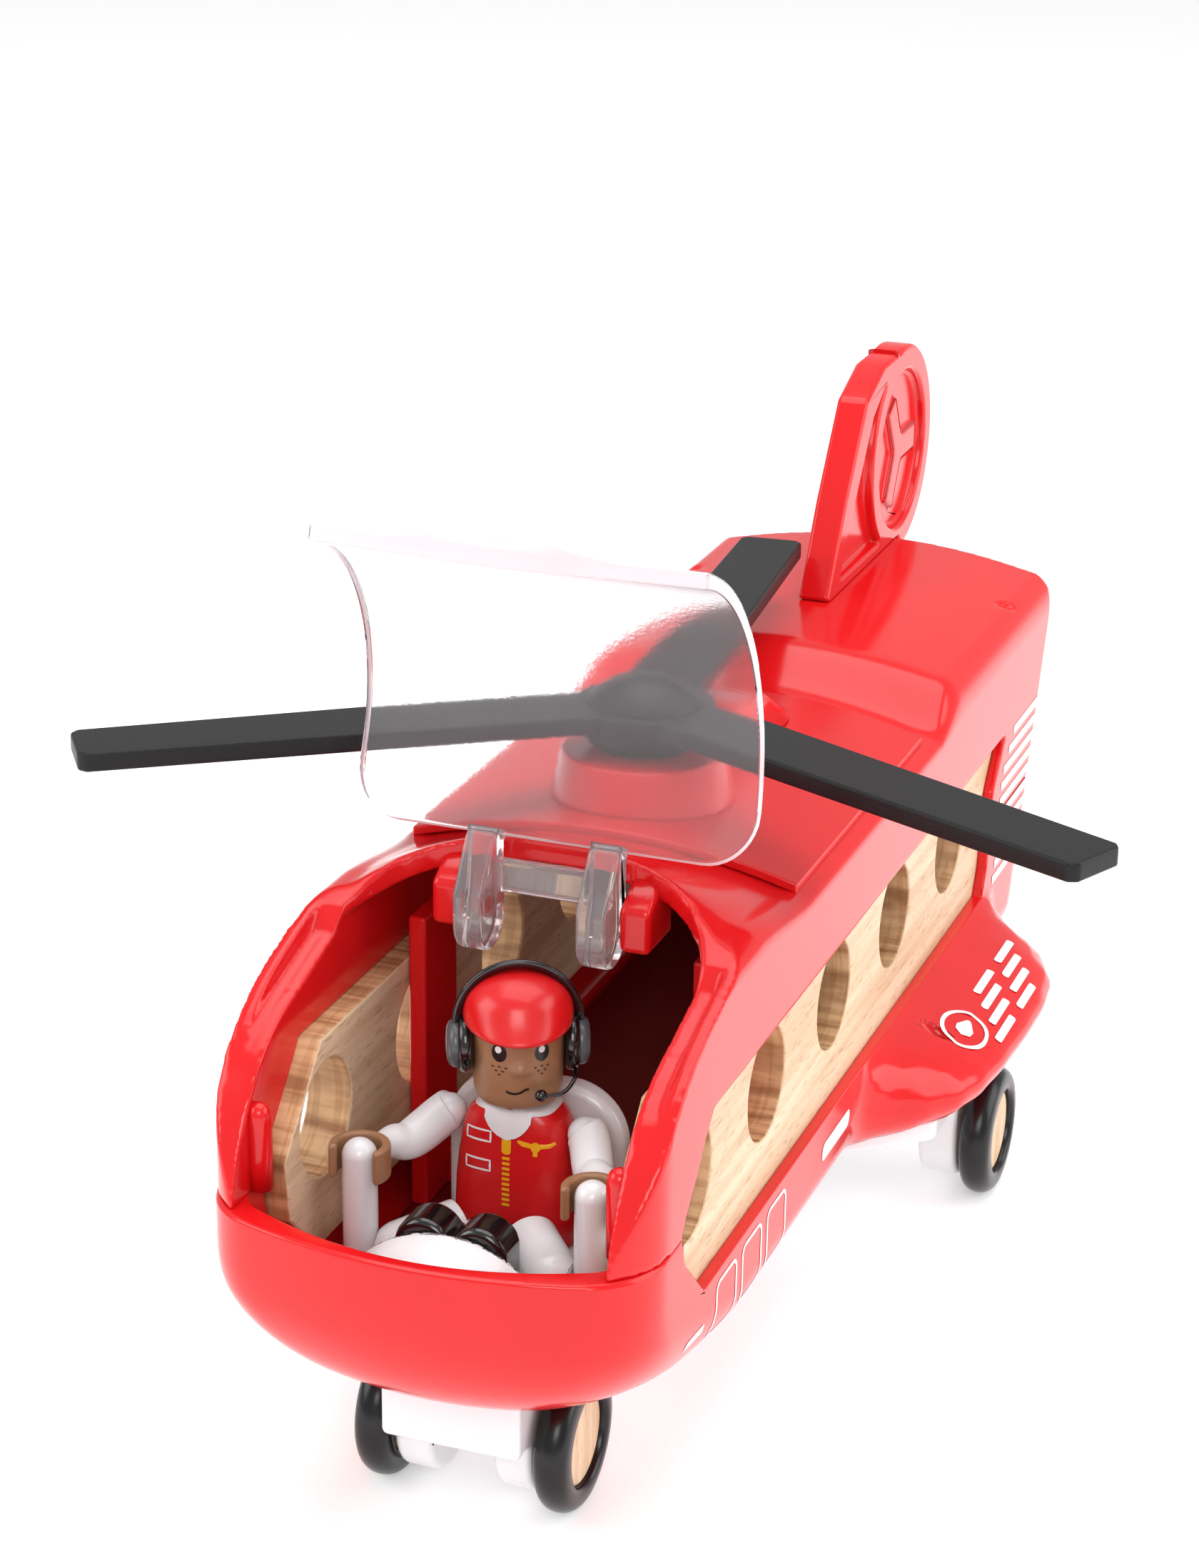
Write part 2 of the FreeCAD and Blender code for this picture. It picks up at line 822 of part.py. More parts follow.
# ---- Chassis and wheels

axle_radius = given("axle_radius")
axle_play = given("axle_play")
front_track = given("front_track")
rear_track = given("rear_track")
wheel_width = given("wheel_width")
wheel_half = wheel_width / 2
chassis_half = front_track / 2 - wheel_half - 0.6
wide_half = rear_track / 2 - wheel_half - 0.8
lobe_round = wheel_radius - given("lobe_low")


def lobe(name, axle_y, low, high):
    """A bearing lobe that hangs from the chassis plate round an axle."""
    outline = [
        (axle_y - lobe_round, wheel_radius),
        (axle_y, wheel_radius - lobe_round, lobe_round, 1),
        (axle_y + lobe_round, wheel_radius, lobe_round, 1),
        (axle_y + lobe_round, bottom - 1),
        (axle_y - lobe_round, bottom - 1),
    ]
    return slab(name, "YZ_Plane", outline, low, high)


spine_front = front_axle_y - 14.0
spine_back = rear_axle_y - 30
spine = box("chassis_spine", (-chassis_half, spine_front, chassis_low), (chassis_half, spine_back, bottom))
wide = slab(
    "chassis_wide",
    "XY_Plane",
    [
        (-wide_half, rear_axle_y - 24),
        (-half_width + 12, rear_axle_y - 40),
        (half_width - 12, rear_axle_y - 40),
        (wide_half, rear_axle_y - 24),
        (wide_half, rear_axle_y + 26),
        (half_width - 12, rear_axle_y + 42),
        (-half_width + 12, rear_axle_y + 42),
        (-wide_half, rear_axle_y + 26),
    ],
    wide_low,
    bottom,
)
front_lobe = lobe("front_lobe", front_axle_y, chassis_half - 6.2, chassis_half)
rear_lobe = lobe("rear_lobe", rear_axle_y, wide_half - 7.0, wide_half)
keel = lobe("rear_keel", rear_axle_y, -5.0, 5.0)
front_bore = rod("front_axle_bore", axle_radius + axle_play, FAR, 0.0, front_axle_y, wheel_radius, "x")
rear_bore = rod("rear_axle_bore", axle_radius + axle_play, FAR, 0.0, rear_axle_y, wheel_radius, "x")
chassis_whole = fuse(
    "chassis_whole",
    spine,
    wide,
    front_lobe,
    mirrored("front_lobe_right", front_lobe),
    rear_lobe,
    mirrored("rear_lobe_right", rear_lobe),
    keel,
)
keep("chassis", cut("chassis_cut", chassis_whole, front_bore, rear_bore, screw_group))

HUB_SET_BACK = 1.1
AXLE_SET_BACK = 2.0
rim_radius = given("rim_radius")
hub_half = wheel_half - HUB_SET_BACK
for end, axle_y, track in (("front", front_axle_y, front_track), ("rear", rear_axle_y, rear_track)):
    axle_length = track + wheel_width - AXLE_SET_BACK * 2
    axle = rod(end + "_axle_rod", axle_radius, axle_length, 0.0, axle_y, wheel_radius, "x")
    keep(end + "_axle", axle)
    for side, sign in (("left", 1), ("right", -1)):
        name = "%s_%s" % (end, side)
        centre = track * sign / 2
        disc = rod("hub_" + name, rim_radius, hub_half * 2, centre, axle_y, wheel_radius, "x")
        keep("wheel_disc_" + name, cut("hub_cut_" + name, disc, axle))
        crown = 1.6
        ring_outline = [
            (-wheel_half, rim_radius + 0.6),
            (0.6 - wheel_half, rim_radius),
            (wheel_half - 0.6, rim_radius),
            (wheel_half, rim_radius + 0.6),
            (wheel_half, wheel_radius - crown),
            (wheel_half - crown, wheel_radius, crown, 1),
            (crown - wheel_half, wheel_radius),
            (-wheel_half, wheel_radius - crown, crown, 1),
        ]
        tyre = turned("tyre_ring_" + name, "XY_Plane", ring_outline, "H_Axis")
        keep("tyre_" + name, place(tyre, centre, axle_y, wheel_radius))

# ---- Rotor

blade_height = given("blade_height")
blade_thick = given("blade_thick")
blade_top = blade_height + blade_thick
hub_radius = given("hub_radius")
rotor_radius = given("rotor_radius")
hub_low = mast_top + 0.6
hub = turned(
    "rotor_hub",
    "XZ_Plane",
    [
        (0.0, hub_low),
        (hub_radius - 3, hub_low),
        (hub_radius, blade_height - 0.6),
        (hub_radius, blade_top),
        (0.0, blade_top),
    ],
    "V_Axis",
)
root_half = given("blade_root") / 2
tip_half = given("blade_tip") / 2
blades = []
for i in range(ROTOR_BLADES):
    outline = [
        (hub_radius / 2, -root_half),
        (rotor_radius - 1.2, -tip_half),
        (rotor_radius, 1.2 - tip_half),
        (rotor_radius, tip_half - 1.2),
        (rotor_radius - 1.2, tip_half),
        (hub_radius / 2, root_half),
    ]
    blade = slab("blade_%d" % i, "XY_Plane", outline, blade_height, blade_top)
    blades.append(place(blade, angle=ROTOR_PHASE + 360.0 / ROTOR_BLADES * i))
shaft_top = blade_top + 1.0
shaft_low = roof_top - roof_wall - 6.0
shaft = rod("shaft_rod", shaft_radius, shaft_top - shaft_low, 0.0, 0.0, (shaft_top + shaft_low) / 2)
keep("rotor_blades", cut("rotor_cut", fuse("rotor_whole", hub, *blades), shaft))
keep("rotor_shaft", shaft)
cap_rise = 4.6
cap_half = hub_radius - 2.0
cap = turned(
    "cap_body",
    "XZ_Plane",
    [
        (0.0, blade_top),
        (cap_half, blade_top),
        (0.0, blade_top + cap_rise, (cap_half * cap_half + cap_rise**2) / (cap_rise * 2), 1),
    ],
    "V_Axis",
)
keep("rotor_cap", cut("cap_cut", cap, shaft))
clip = rod("clip_disc", 4.0, 1.6, 0.0, 0.0, shaft_low + 3.0)
keep("shaft_clip", cut("clip_cut", clip, shaft))

# ---- Canopy, standing open

canopy_y = pivot_y - given("canopy_centre_forward")
canopy_z = pivot_z + given("canopy_centre_up")
canopy_radius = given("canopy_radius")
hinge_half = strip_in - given("canopy_side_play")
lip_half = hinge_half - given("canopy_lip_inset")
band = turned(
    "canopy_band",
    "XY_Plane",
    [
        (-hinge_half, canopy_radius - given("canopy_thick")),
        (hinge_half, canopy_radius - given("canopy_thick")),
        (hinge_half, canopy_radius),
        (-hinge_half, canopy_radius),
    ],
    "H_Axis",
    CANOPY_SWEEP,
)
place(band, 0.0, canopy_y, canopy_z, (1, 0, 0), CANOPY_HINGE_ANGLE)
CORNER = 8.0
hinge_edge_z = canopy_z + canopy_radius * math.sin(math.radians(CANOPY_HINGE_ANGLE))
front_trim = slab(
    "canopy_front_trim",
    "XZ_Plane",
    [
        (CORNER - hinge_half, hinge_edge_z, CORNER, 1),
        (hinge_half - CORNER, hinge_edge_z),
        (hinge_half, hinge_edge_z + CORNER, CORNER, 1),
        (lip_half, canopy_z + canopy_radius + 1),
        (-lip_half, canopy_z + canopy_radius + 1),
        (-hinge_half, hinge_edge_z + CORNER),
    ],
    -FAR,
    FAR,
)
LIP_BOW = 4.8
lip_y = canopy_y + canopy_radius * 0.285
lip_trim = slab(
    "canopy_lip_trim",
    "XY_Plane",
    [
        (-lip_half - 6, lip_y),
        (lip_half + 6, lip_y, (lip_half * lip_half + LIP_BOW**2) / (LIP_BOW * 2), 1),
        (lip_half + 6, 0.0),
        (-lip_half - 6, 0.0),
    ],
    0.0,
    FAR,
)
tab_half = given("lip_tab_width") / 2
tab = turned(
    "canopy_tab",
    "XY_Plane",
    [
        (-tab_half, canopy_radius - 0.5),
        (tab_half, canopy_radius - 0.5),
        (tab_half - 6, canopy_radius + given("lip_tab_rise")),
        (6 - tab_half, canopy_radius + given("lip_tab_rise")),
    ],
    "H_Axis",
    12.0,
)
place(tab, 0.0, canopy_y, canopy_z, (1, 0, 0), TAB_ANGLE)
sheet_body = common("canopy_sheet", band, front_trim, lip_trim)
screen = fuse("canopy_screen_whole", sheet_body, common("canopy_tab_trimmed", tab, lip_trim))
keep("canopy_screen", screen)
arm_back = pivot_y + 2.3
arm_front = pivot_y - 7.3
arm_mid = (arm_back - arm_front) / 2
arm_outline = [
    (arm_front, pivot_z - 1.2),
    ((arm_back + arm_front) / 2, pivot_z - 1.2 - arm_mid, arm_mid, 1),
    (arm_back, pivot_z - 1.2, arm_mid, 1),
    (arm_back, pivot_z + 12.4),
    (arm_back - 4.0, pivot_z + 12.4),
    (arm_front, pivot_z + 4.0),
]
arm = slab("canopy_arm", "YZ_Plane", arm_outline, arm_in, arm_out)
bridge = box("canopy_bridge", (-arm_in, pivot_y - 1.6, pivot_z + 3), (arm_in, pivot_y + 0.8, pivot_z + 8.2))
pin = rod("canopy_pin", pin_radius, pin_reach - arm_out, (pin_reach + arm_out) / 2, pivot_y, pivot_z, "x")
arm_left = fuse("arm_left", arm, pin)
canopy_arms = fuse("canopy_arms", arm_left, mirrored("arm_right", arm_left), bridge)
keep("canopy_hinge_arms", cut("canopy_arms_cut", canopy_arms, screen))

# ---- Cockpit

floor_top = floor_height + 2.0
floor_half = board_in - 0.2
cabin_floor = box("cabin_floor_plate", (-floor_half, -78.0, floor_height), (floor_half, 106.0, floor_top))
keep("cabin_floor", cabin_floor)
pilot_y = -given("pilot_place")
chin = given("chin_height")
torso_half = given("torso_width") / 2
SEAT_BACK = 6.6
seat_half = 15.0
seat_outline = [
    (pilot_y - 9.0, floor_top),
    (pilot_y + 13.0, floor_top),
    (pilot_y + 11.5, chin - 1),
    (pilot_y + SEAT_BACK + 0.2, chin - 1),
    (pilot_y + SEAT_BACK, floor_top + 8),
    (pilot_y - 9.0, floor_top + 8),
]
seat_block = slab("seat_block", "YZ_Plane", seat_outline, -seat_half, seat_half)


def on_seat_corner(edge):
    room = edge.BoundBox
    return room.XLength < 0.1 and room.ZMin > float(chin) - 2


rounded(seat_block, "seat_edges", 3.0, on_seat_corner)
keep("seat", seat_block)

stick_x = given("stick_spread") / 2
stick_y = -given("stick_place")
stick_radius = given("stick_radius")
stick_top = given("stick_top")
sticks = []
for side, sign in (("left", 1), ("right", -1)):
    length = stick_top - stick_radius - floor_top
    shank = rod("stick_" + side, stick_radius, length, stick_x * sign, stick_y, floor_top + length / 2)
    ball = primitive("Sphere", "stick_ball_" + side, Radius=stick_radius)
    place(ball, stick_x * sign, stick_y, stick_top - stick_radius)
    sticks.append(fuse("stick_whole_" + side, shank, ball))
stick_group = doc.addObject("Part::Compound", "stick_group")
stick_group.Links = sticks
keep("control_sticks", stick_group)

console_y = pilot_y - 24.0
console_low = floor_top + 9.0
console_lobes = []
for i, x in enumerate((-4.4, 4.4)):
    console_lobes.append(rod("console_lobe_%d" % i, 4.6, 7.0, x, console_y, floor_top + 18.0, "y"))
console_high = floor_top + 18.0
console_box = box("console_box", (-9.0, console_y - 3.5, console_low), (9.0, console_y + 3.5, console_high))
keep("instrument_console", fuse("console", console_box, *console_lobes))
console_foot = box("fairing_post", (-7.0, console_y - 3.5, floor_top), (7.0, console_y + 3.5, console_low))
fairing_back = console_y - 3.5
fairing_ball = primitive("Sphere", "fairing_ball", Radius=19.0)
place(fairing_ball, 0.0, fairing_back + 2.0, floor_top + 2.4)
fairing_room = box("fairing_room", (-15.0, fairing_back - 12.0, floor_top), (15.0, fairing_back, seam))
fairing = fuse("fairing", common("fairing_dome", fairing_ball, fairing_room), console_foot)
keep("nose_fairing", common("fairing_inside", fairing, hull_cavity))

# ---- Pilot

shoulder_z = given("shoulder_height")
head_radius = given("head_radius")
hip = floor_top + 8
torso = slab(
    "torso",
    "XZ_Plane",
    [
        (-torso_half - 0.6, hip),
        (torso_half + 0.6, hip),
        (torso_half, shoulder_z + 2),
        (torso_half - 3, chin - 0.6, 4.0, 1),
        (3.0 - torso_half, chin - 0.6),
        (-torso_half, shoulder_z + 2, 4.0, 1),
    ],
    pilot_y - 5.4,
    pilot_y + SEAT_BACK - 0.4,
)
peg_reach = torso_half + 3.4
peg = rod("shoulder_peg", 1.2, peg_reach * 2, 0.0, pilot_y, shoulder_z, "x")
neck = rod("neck_peg", 2.2, 3.4, 0.0, pilot_y, chin + 0.8)
keep("pilot_torso", fuse("torso_whole", torso, peg, neck))

knee = FreeCAD.Vector(12.0, float(pilot_y) - 17.0, float(hip) + 3.0)
hip_point = FreeCAD.Vector(5.6, float(pilot_y) - 9.6, float(hip) + 4.6)
foot_point = FreeCAD.Vector(12.0, float(pilot_y) - 19.5, float(floor_top) + 2.6)
leg_pieces = [limb("thigh", hip_point, knee, 4.4, 4.6), limb("shin", knee, foot_point, 4.4, 2.6)]
knee_ball = primitive("Sphere", "knee", Radius=4.6)
knee_ball.Placement.Base = knee
leg_out = stick_x - stick_radius - 0.4
leg_room = box("leg_room", (0.4, pilot_y - 30, floor_top), (leg_out, pilot_y - 5.6, seam))
leg_trimmed = common("leg_trimmed", fuse("leg", knee_ball, *leg_pieces), leg_room)
leg_left = cut("leg_left", leg_trimmed, console_box, seat_block)
legs = doc.addObject("Part::Compound", "legs")
legs.Links = [leg_left, mirrored("leg_right", leg_left)]
keep("pilot_legs", legs)

cap_brim = given("cap_brim")
cap_radius = head_radius + given("cap_wall")
cap_top = given("cap_top")
skull_top = cap_brim + 4.0
head_body = turned(
    "head_body",
    "XZ_Plane",
    [
        (0.0, chin),
        (head_radius - 1.6, chin),
        (head_radius, chin + 1.6, 1.6, 1),
        (head_radius, skull_top),
        (0.0, skull_top),
    ],
    "V_Axis",
)
turn_angle = given("head_turn")


def on_neck(item):
    """Puts a piece of the head, drawn facing the nose, on the turned neck."""
    return place(item, 0.0, pilot_y, 0.0, (0, 0, 1), turn_angle)


neck_hole = rod("neck_hole", 2.2 + 0.1, 3.4 + 0.6, 0.0, pilot_y, chin + 0.8)
head = cut("head_cut", on_neck(head_body), neck_hole)
keep("pilot_head", head)
dome_rise = cap_top - cap_brim - 1.6
cap_outline = [
    (0.0, skull_top),
    (head_radius, skull_top),
    (head_radius, cap_brim),
    (cap_radius, cap_brim),
    (cap_radius, cap_brim + 1.6),
    (0.0, cap_top, (cap_radius * cap_radius + dome_rise * dome_rise) / (dome_rise * 2), 1),
]
cap_body = on_neck(turned("cap_shell", "XZ_Plane", cap_outline, "V_Axis"))
visor = on_neck(
    slab(
        "visor",
        "XY_Plane",
        [
            (-cap_radius + 1.4, -3.0),
            (cap_radius - 1.4, -3.0, 8.6, 1),
            (cap_radius - 1.4, 0.0),
            (-cap_radius + 1.4, 0.0),
        ],
        cap_brim,
        cap_brim + 1.4,
    )
)
cap_whole = fuse("cap_whole", cap_body, cut("visor_cut", visor, head))
keep("pilot_cap", cap_whole)


cup_z = cap_brim - 3.4
cup_in = head_radius + 0.3
cup_out = cup_in + 3.4
cup_radius = 4.4
side_arch = cap_radius + 0.3
BAND_THICK = 1.2
arch_top = cap_top + 0.3
headband = slab(
    "headband",
    "XZ_Plane",
    [
        (side_arch, cup_z),
        (side_arch + BAND_THICK, cup_z),
        (side_arch + BAND_THICK, arch_top - side_arch),
        (0.0, arch_top + BAND_THICK, side_arch + BAND_THICK, 1),
        (-side_arch - BAND_THICK, arch_top - side_arch, side_arch + BAND_THICK, 1),
        (-side_arch - BAND_THICK, cup_z),
        (-side_arch, cup_z),
        (-side_arch, arch_top - side_arch),
        (0.0, arch_top, side_arch, -1),
        (side_arch, arch_top - side_arch, side_arch, -1),
    ],
    -1.2,
    1.2,
)
headset = [headband]
for i, sign in enumerate((-1, 1)):
    headset.append(rod("ear_cup_%d" % i, cup_radius, 3.4, (cup_in + cup_out) / 2 * sign, 0.0, cup_z, "x"))
boom_end = FreeCAD.Vector(4.6, -float(head_radius) - 2.2, float(cup_z) - 5.4)
boom_start = FreeCAD.Vector(float(cup_out) - 1.2, -1.0, float(cup_z) - 1.0)
mic = primitive("Sphere", "microphone", Radius=1.5)
mic.Placement.Base = boom_end
boom_bend = FreeCAD.Vector(float(cup_out) - 1.2, -float(head_radius) - 1.6, float(cup_z) - 5.0)
bend_ball = primitive("Sphere", "boom_bend", Radius=0.75)
bend_ball.Placement.Base = boom_bend
boom = [
    limb("boom_side", boom_start, boom_bend, 0.75, 0.75),
    limb("boom_front", boom_bend, boom_end, 0.75, 0.75),
]
headset_whole = on_neck(fuse("headset_whole", mic, bend_ball, *boom, *headset))
keep("pilot_headset", cut("headset_cut", headset_whole, cap_whole, head))

arm_x = torso_half + 3.4
SLEEVE = 3.2
grip_room = stick_radius + given("grip_play")
palm_radius = grip_room + 1.5
hand_z = stick_top - 3.4
sleeve_end = FreeCAD.Vector(float(arm_x) + 3.2, float(pilot_y) - 7.4, float(shoulder_z) - 1.9)
wrist = FreeCAD.Vector(float(stick_x) - 1.0, float(stick_y) + 4.2, float(hand_z))
for side in ("left", "right"):
    shoulder = primitive("Sphere", "shoulder_" + side, Radius=SLEEVE)
    place(shoulder, arm_x, pilot_y, shoulder_z)
    joint_point = FreeCAD.Vector(float(arm_x), float(pilot_y), float(shoulder_z))
    elbow = primitive("Sphere", "elbow_" + side, Radius=2.8)
    elbow.Placement.Base = sleeve_end
    upper = limb("upper_arm_" + side, joint_point, sleeve_end, SLEEVE, 2.8)
    lower = limb("forearm_" + side, sleeve_end, wrist, 2.8, 2.0)
    palm = rod("palm_" + side, palm_radius, 4.4, stick_x, stick_y, hand_z)
    hollow = rod("palm_hollow_" + side, grip_room, 8.0, stick_x, stick_y, hand_z)
    mouth = box(
        "palm_mouth_" + side,
        (stick_x - grip_room, stick_y - 12, hand_z - 4),
        (stick_x + grip_room, stick_y, hand_z + 4),
    )
    socket = rod("socket_" + side, 1.3, 3.4, arm_x - 1.6, pilot_y, shoulder_z, "x")
    torso_side = box("arm_inside_" + side, (0.0, pilot_y - 12, hip), (torso_half + 0.3, pilot_y + 12, FAR))
    whole = fuse("arm_whole_" + side, shoulder, elbow, upper, lower, palm)
    arm_piece = cut("arm_cut_" + side, whole, hollow, mouth, socket, torso_side)
    if side == "left":
        keep("pilot_arm_left", arm_piece)
    else:
        keep("pilot_arm_right", mirrored("arm_mirrored", arm_piece))

# ---- Cabin frame

post_back = brow_front + 15.0
post_front = brow_front + 2.0
post_in = board_in - 3.2
frame_low = floor_top
post_out = board_in - FRAME_PLAY
frame_post = box("frame_post", (post_in, post_front, frame_low), (post_out, post_back, roof_side - roof_wall))
sill = box("frame_sill", (-post_in, post_back - 4, frame_low), (post_in, post_back, frame_low + 6))
keep("cabin_frame", fuse("frame_whole", frame_post, mirrored("frame_post_right", frame_post), sill))

# ---- Files

doc.recompute()
faults = [o.Name for o in doc.Objects if "Invalid" in o.State or "Error" in o.State]
for label, item in parts.items():
    shape = item.Shape
    if shape.isNull() or not shape.isValid() or not shape.Solids:
        faults.append(label)
if faults:
    raise RuntimeError("these did not build: " + ", ".join(faults))
os.makedirs("parts", exist_ok=True)
for label, item in parts.items():
    item.Shape.exportStep("parts/%s.step" % label)
    room = item.Shape.BoundBox
    spans = (room.XLength, room.YLength, room.ZLength)
    count = len(item.Shape.Solids)
    print("%-20s %d solid, %9.1f mm3, %6.1f x %6.1f x %6.1f mm" % (label, count, item.Shape.Volume, *spans))
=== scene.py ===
# %% [markdown]
# # A toy transport helicopter
# The frame holds every moving and fitting piece already. What is left is how the toy looks:
# glossy red mouldings, bare beech walls, a frosted windscreen and a small pilot. Each step
# below makes one piece or one finish, and says why it is made in that way.

# %% Load the frame
import json
import math

import bmesh
import bpy
from mathutils import Matrix, Vector


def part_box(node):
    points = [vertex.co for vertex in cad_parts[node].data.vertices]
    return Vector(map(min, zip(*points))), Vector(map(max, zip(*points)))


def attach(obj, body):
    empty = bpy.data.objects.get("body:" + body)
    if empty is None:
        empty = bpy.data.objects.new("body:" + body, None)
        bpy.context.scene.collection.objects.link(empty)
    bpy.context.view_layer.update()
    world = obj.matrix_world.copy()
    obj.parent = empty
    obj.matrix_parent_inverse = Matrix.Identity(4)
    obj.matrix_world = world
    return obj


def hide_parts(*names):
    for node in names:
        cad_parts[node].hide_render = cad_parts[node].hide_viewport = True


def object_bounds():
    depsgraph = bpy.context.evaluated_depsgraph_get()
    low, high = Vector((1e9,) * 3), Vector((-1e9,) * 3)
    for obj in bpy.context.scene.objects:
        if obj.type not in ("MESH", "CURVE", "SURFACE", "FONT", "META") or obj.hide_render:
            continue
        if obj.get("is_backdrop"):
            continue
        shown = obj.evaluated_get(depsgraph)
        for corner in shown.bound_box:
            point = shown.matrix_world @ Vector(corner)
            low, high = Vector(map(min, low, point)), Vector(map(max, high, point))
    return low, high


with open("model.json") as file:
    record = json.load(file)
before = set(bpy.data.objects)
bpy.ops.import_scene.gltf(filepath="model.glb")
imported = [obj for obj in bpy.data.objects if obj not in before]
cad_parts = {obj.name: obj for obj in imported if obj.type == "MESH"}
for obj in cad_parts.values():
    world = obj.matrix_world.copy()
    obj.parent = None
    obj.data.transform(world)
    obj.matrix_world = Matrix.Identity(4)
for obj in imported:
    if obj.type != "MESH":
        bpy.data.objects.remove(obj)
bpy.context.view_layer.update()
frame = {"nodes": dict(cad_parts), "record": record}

MM = 0.001

# %% [markdown]
# ## The camera
# A long lens from the front left, a little above the toy. Its place is given as a point, and
# its direction by two angles and a small roll, which is easier to read than a matrix.

# %% Camera
CAMERA_PLACE = Vector((177.36, -498.66, 294.91)) * MM
AROUND, ABOVE, ROLL = (math.radians(a) for a in (20.37, 21.04, 0.62))
FOCAL, SENSOR = 79.93, 36.0

data = bpy.data.cameras.new("camera")
data.lens, data.sensor_width = FOCAL, SENSOR
data.clip_start, data.clip_end = 0.01, 10.0
camera = bpy.data.objects.new("camera", data)
bpy.context.scene.collection.objects.link(camera)
back = Vector((math.sin(AROUND) * math.cos(ABOVE), -math.cos(AROUND) * math.cos(ABOVE), math.sin(ABOVE)))
right = Vector((math.cos(AROUND), math.sin(AROUND), 0))
up = back.cross(right)
right_rolled = right * math.cos(ROLL) + up * math.sin(ROLL)
up_rolled = up * math.cos(ROLL) - right * math.sin(ROLL)
turned = Matrix((right_rolled, up_rolled, back)).transposed().to_4x4()
camera.matrix_world = Matrix.Translation(CAMERA_PLACE) @ turned
bpy.context.scene.camera = camera
print("camera looks from", [round(c, 3) for c in CAMERA_PLACE])

# %% [markdown]
# ## Floor and light
# A white sweep and large soft lamps give the long, pale reflections that gloss plastic needs.
# Small lamps would show as hard dots, so every lamp here is a wide panel. The floor is paper
# that glows a little, so that it stays white up to its far edge.

# %% Floor and lamps
def lamp(name, place, size, power, aim=(0, 0, 0.05)):
    panel = bpy.data.lights.new(name, "AREA")
    panel.shape, panel.size, panel.energy = "SQUARE", size, power
    thing = bpy.data.objects.new(name, panel)
    thing.location = place
    thing.rotation_euler = (Vector(aim) - Vector(place)).to_track_quat("-Z", "Y").to_euler()
    bpy.context.scene.collection.objects.link(thing)
    return thing


lamp("ceiling", (0.0, 0.15, 1.0), 0.9, 6.0)
lamp("left_panel", (-0.8, -0.5, 0.6), 0.6, 3.6)
lamp("right_panel", (0.85, 0.25, 0.5), 0.8, 5.0)
lamp("front_panel", (0.35, -1.0, 0.7), 0.5, 4.0)
world = bpy.data.worlds.new("studio")
world.use_nodes = True
backdrop = world.node_tree.nodes["Background"]
backdrop.inputs["Color"].default_value = (1.0, 1.0, 1.0, 1)
backdrop.inputs["Strength"].default_value = 0.62
bpy.context.scene.world = world
bpy.context.scene.view_settings.view_transform = "Standard"

FLOOR_REACH = 9
mesh = bpy.data.meshes.new("floor")
corners = [(x * FLOOR_REACH, y * FLOOR_REACH, 0) for x, y in ((-1, -1), (1, -1), (1, 1), (-1, 1))]
mesh.from_pydata(corners, [], [(0, 1, 2, 3)])
floor = bpy.data.objects.new("floor", mesh)
bpy.context.scene.collection.objects.link(floor)
floor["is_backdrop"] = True
print("stage: floor and four panels")

# %% [markdown]
# ## Finishes
# Every finish is a Principled shader with a little life in it: colour that drifts by a few
# percent, gloss that isn't quite even, and a bump at the scale of the real surface.
# The helper below makes the drift and the bump, and each finish then says its own numbers.

# %% Finish helper
def finish(name, colour, roughness, drift=0.06, drift_scale=60.0, bump=0.02, bump_scale=900.0, **sockets):
    """A material whose colour drifts slightly and whose surface has a fine bump."""
    made = bpy.data.materials.new(name)
    made.use_nodes = True
    nodes, links = made.node_tree.nodes, made.node_tree.links
    shader = nodes["Principled BSDF"]
    place = nodes.new("ShaderNodeTexCoord")
    cloud = nodes.new("ShaderNodeTexNoise")
    cloud.inputs["Scale"].default_value = drift_scale
    cloud.inputs["Detail"].default_value = 3
    links.new(place.outputs["Object"], cloud.inputs["Vector"])
    ramp = nodes.new("ShaderNodeValToRGB")
    ramp.color_ramp.elements[0].position, ramp.color_ramp.elements[1].position = 0.35, 0.65
    for element, factor in zip(ramp.color_ramp.elements, (1 - drift, 1 + drift)):
        element.color = [min(c * factor, 1) for c in colour] + [1]
    links.new(cloud.outputs["Fac"], ramp.inputs["Fac"])
    links.new(ramp.outputs["Color"], shader.inputs["Base Color"])
    gloss = nodes.new("ShaderNodeMapRange")
    gloss.inputs["To Min"].default_value = roughness * 0.85
    gloss.inputs["To Max"].default_value = min(roughness * 1.15, 1)
    links.new(cloud.outputs["Fac"], gloss.inputs["Value"])
    links.new(gloss.outputs["Result"], shader.inputs["Roughness"])
    grain = nodes.new("ShaderNodeTexNoise")
    grain.inputs["Scale"].default_value = bump_scale
    links.new(place.outputs["Object"], grain.inputs["Vector"])
    relief = nodes.new("ShaderNodeBump")
    relief.inputs["Strength"].default_value = bump
    relief.inputs["Distance"].default_value = 0.0002
    links.new(grain.outputs["Fac"], relief.inputs["Height"])
    links.new(relief.outputs["Normal"], shader.inputs["Normal"])
    for socket, value in sockets.items():
        shader.inputs[socket.replace("_", " ")].default_value = value
    return made


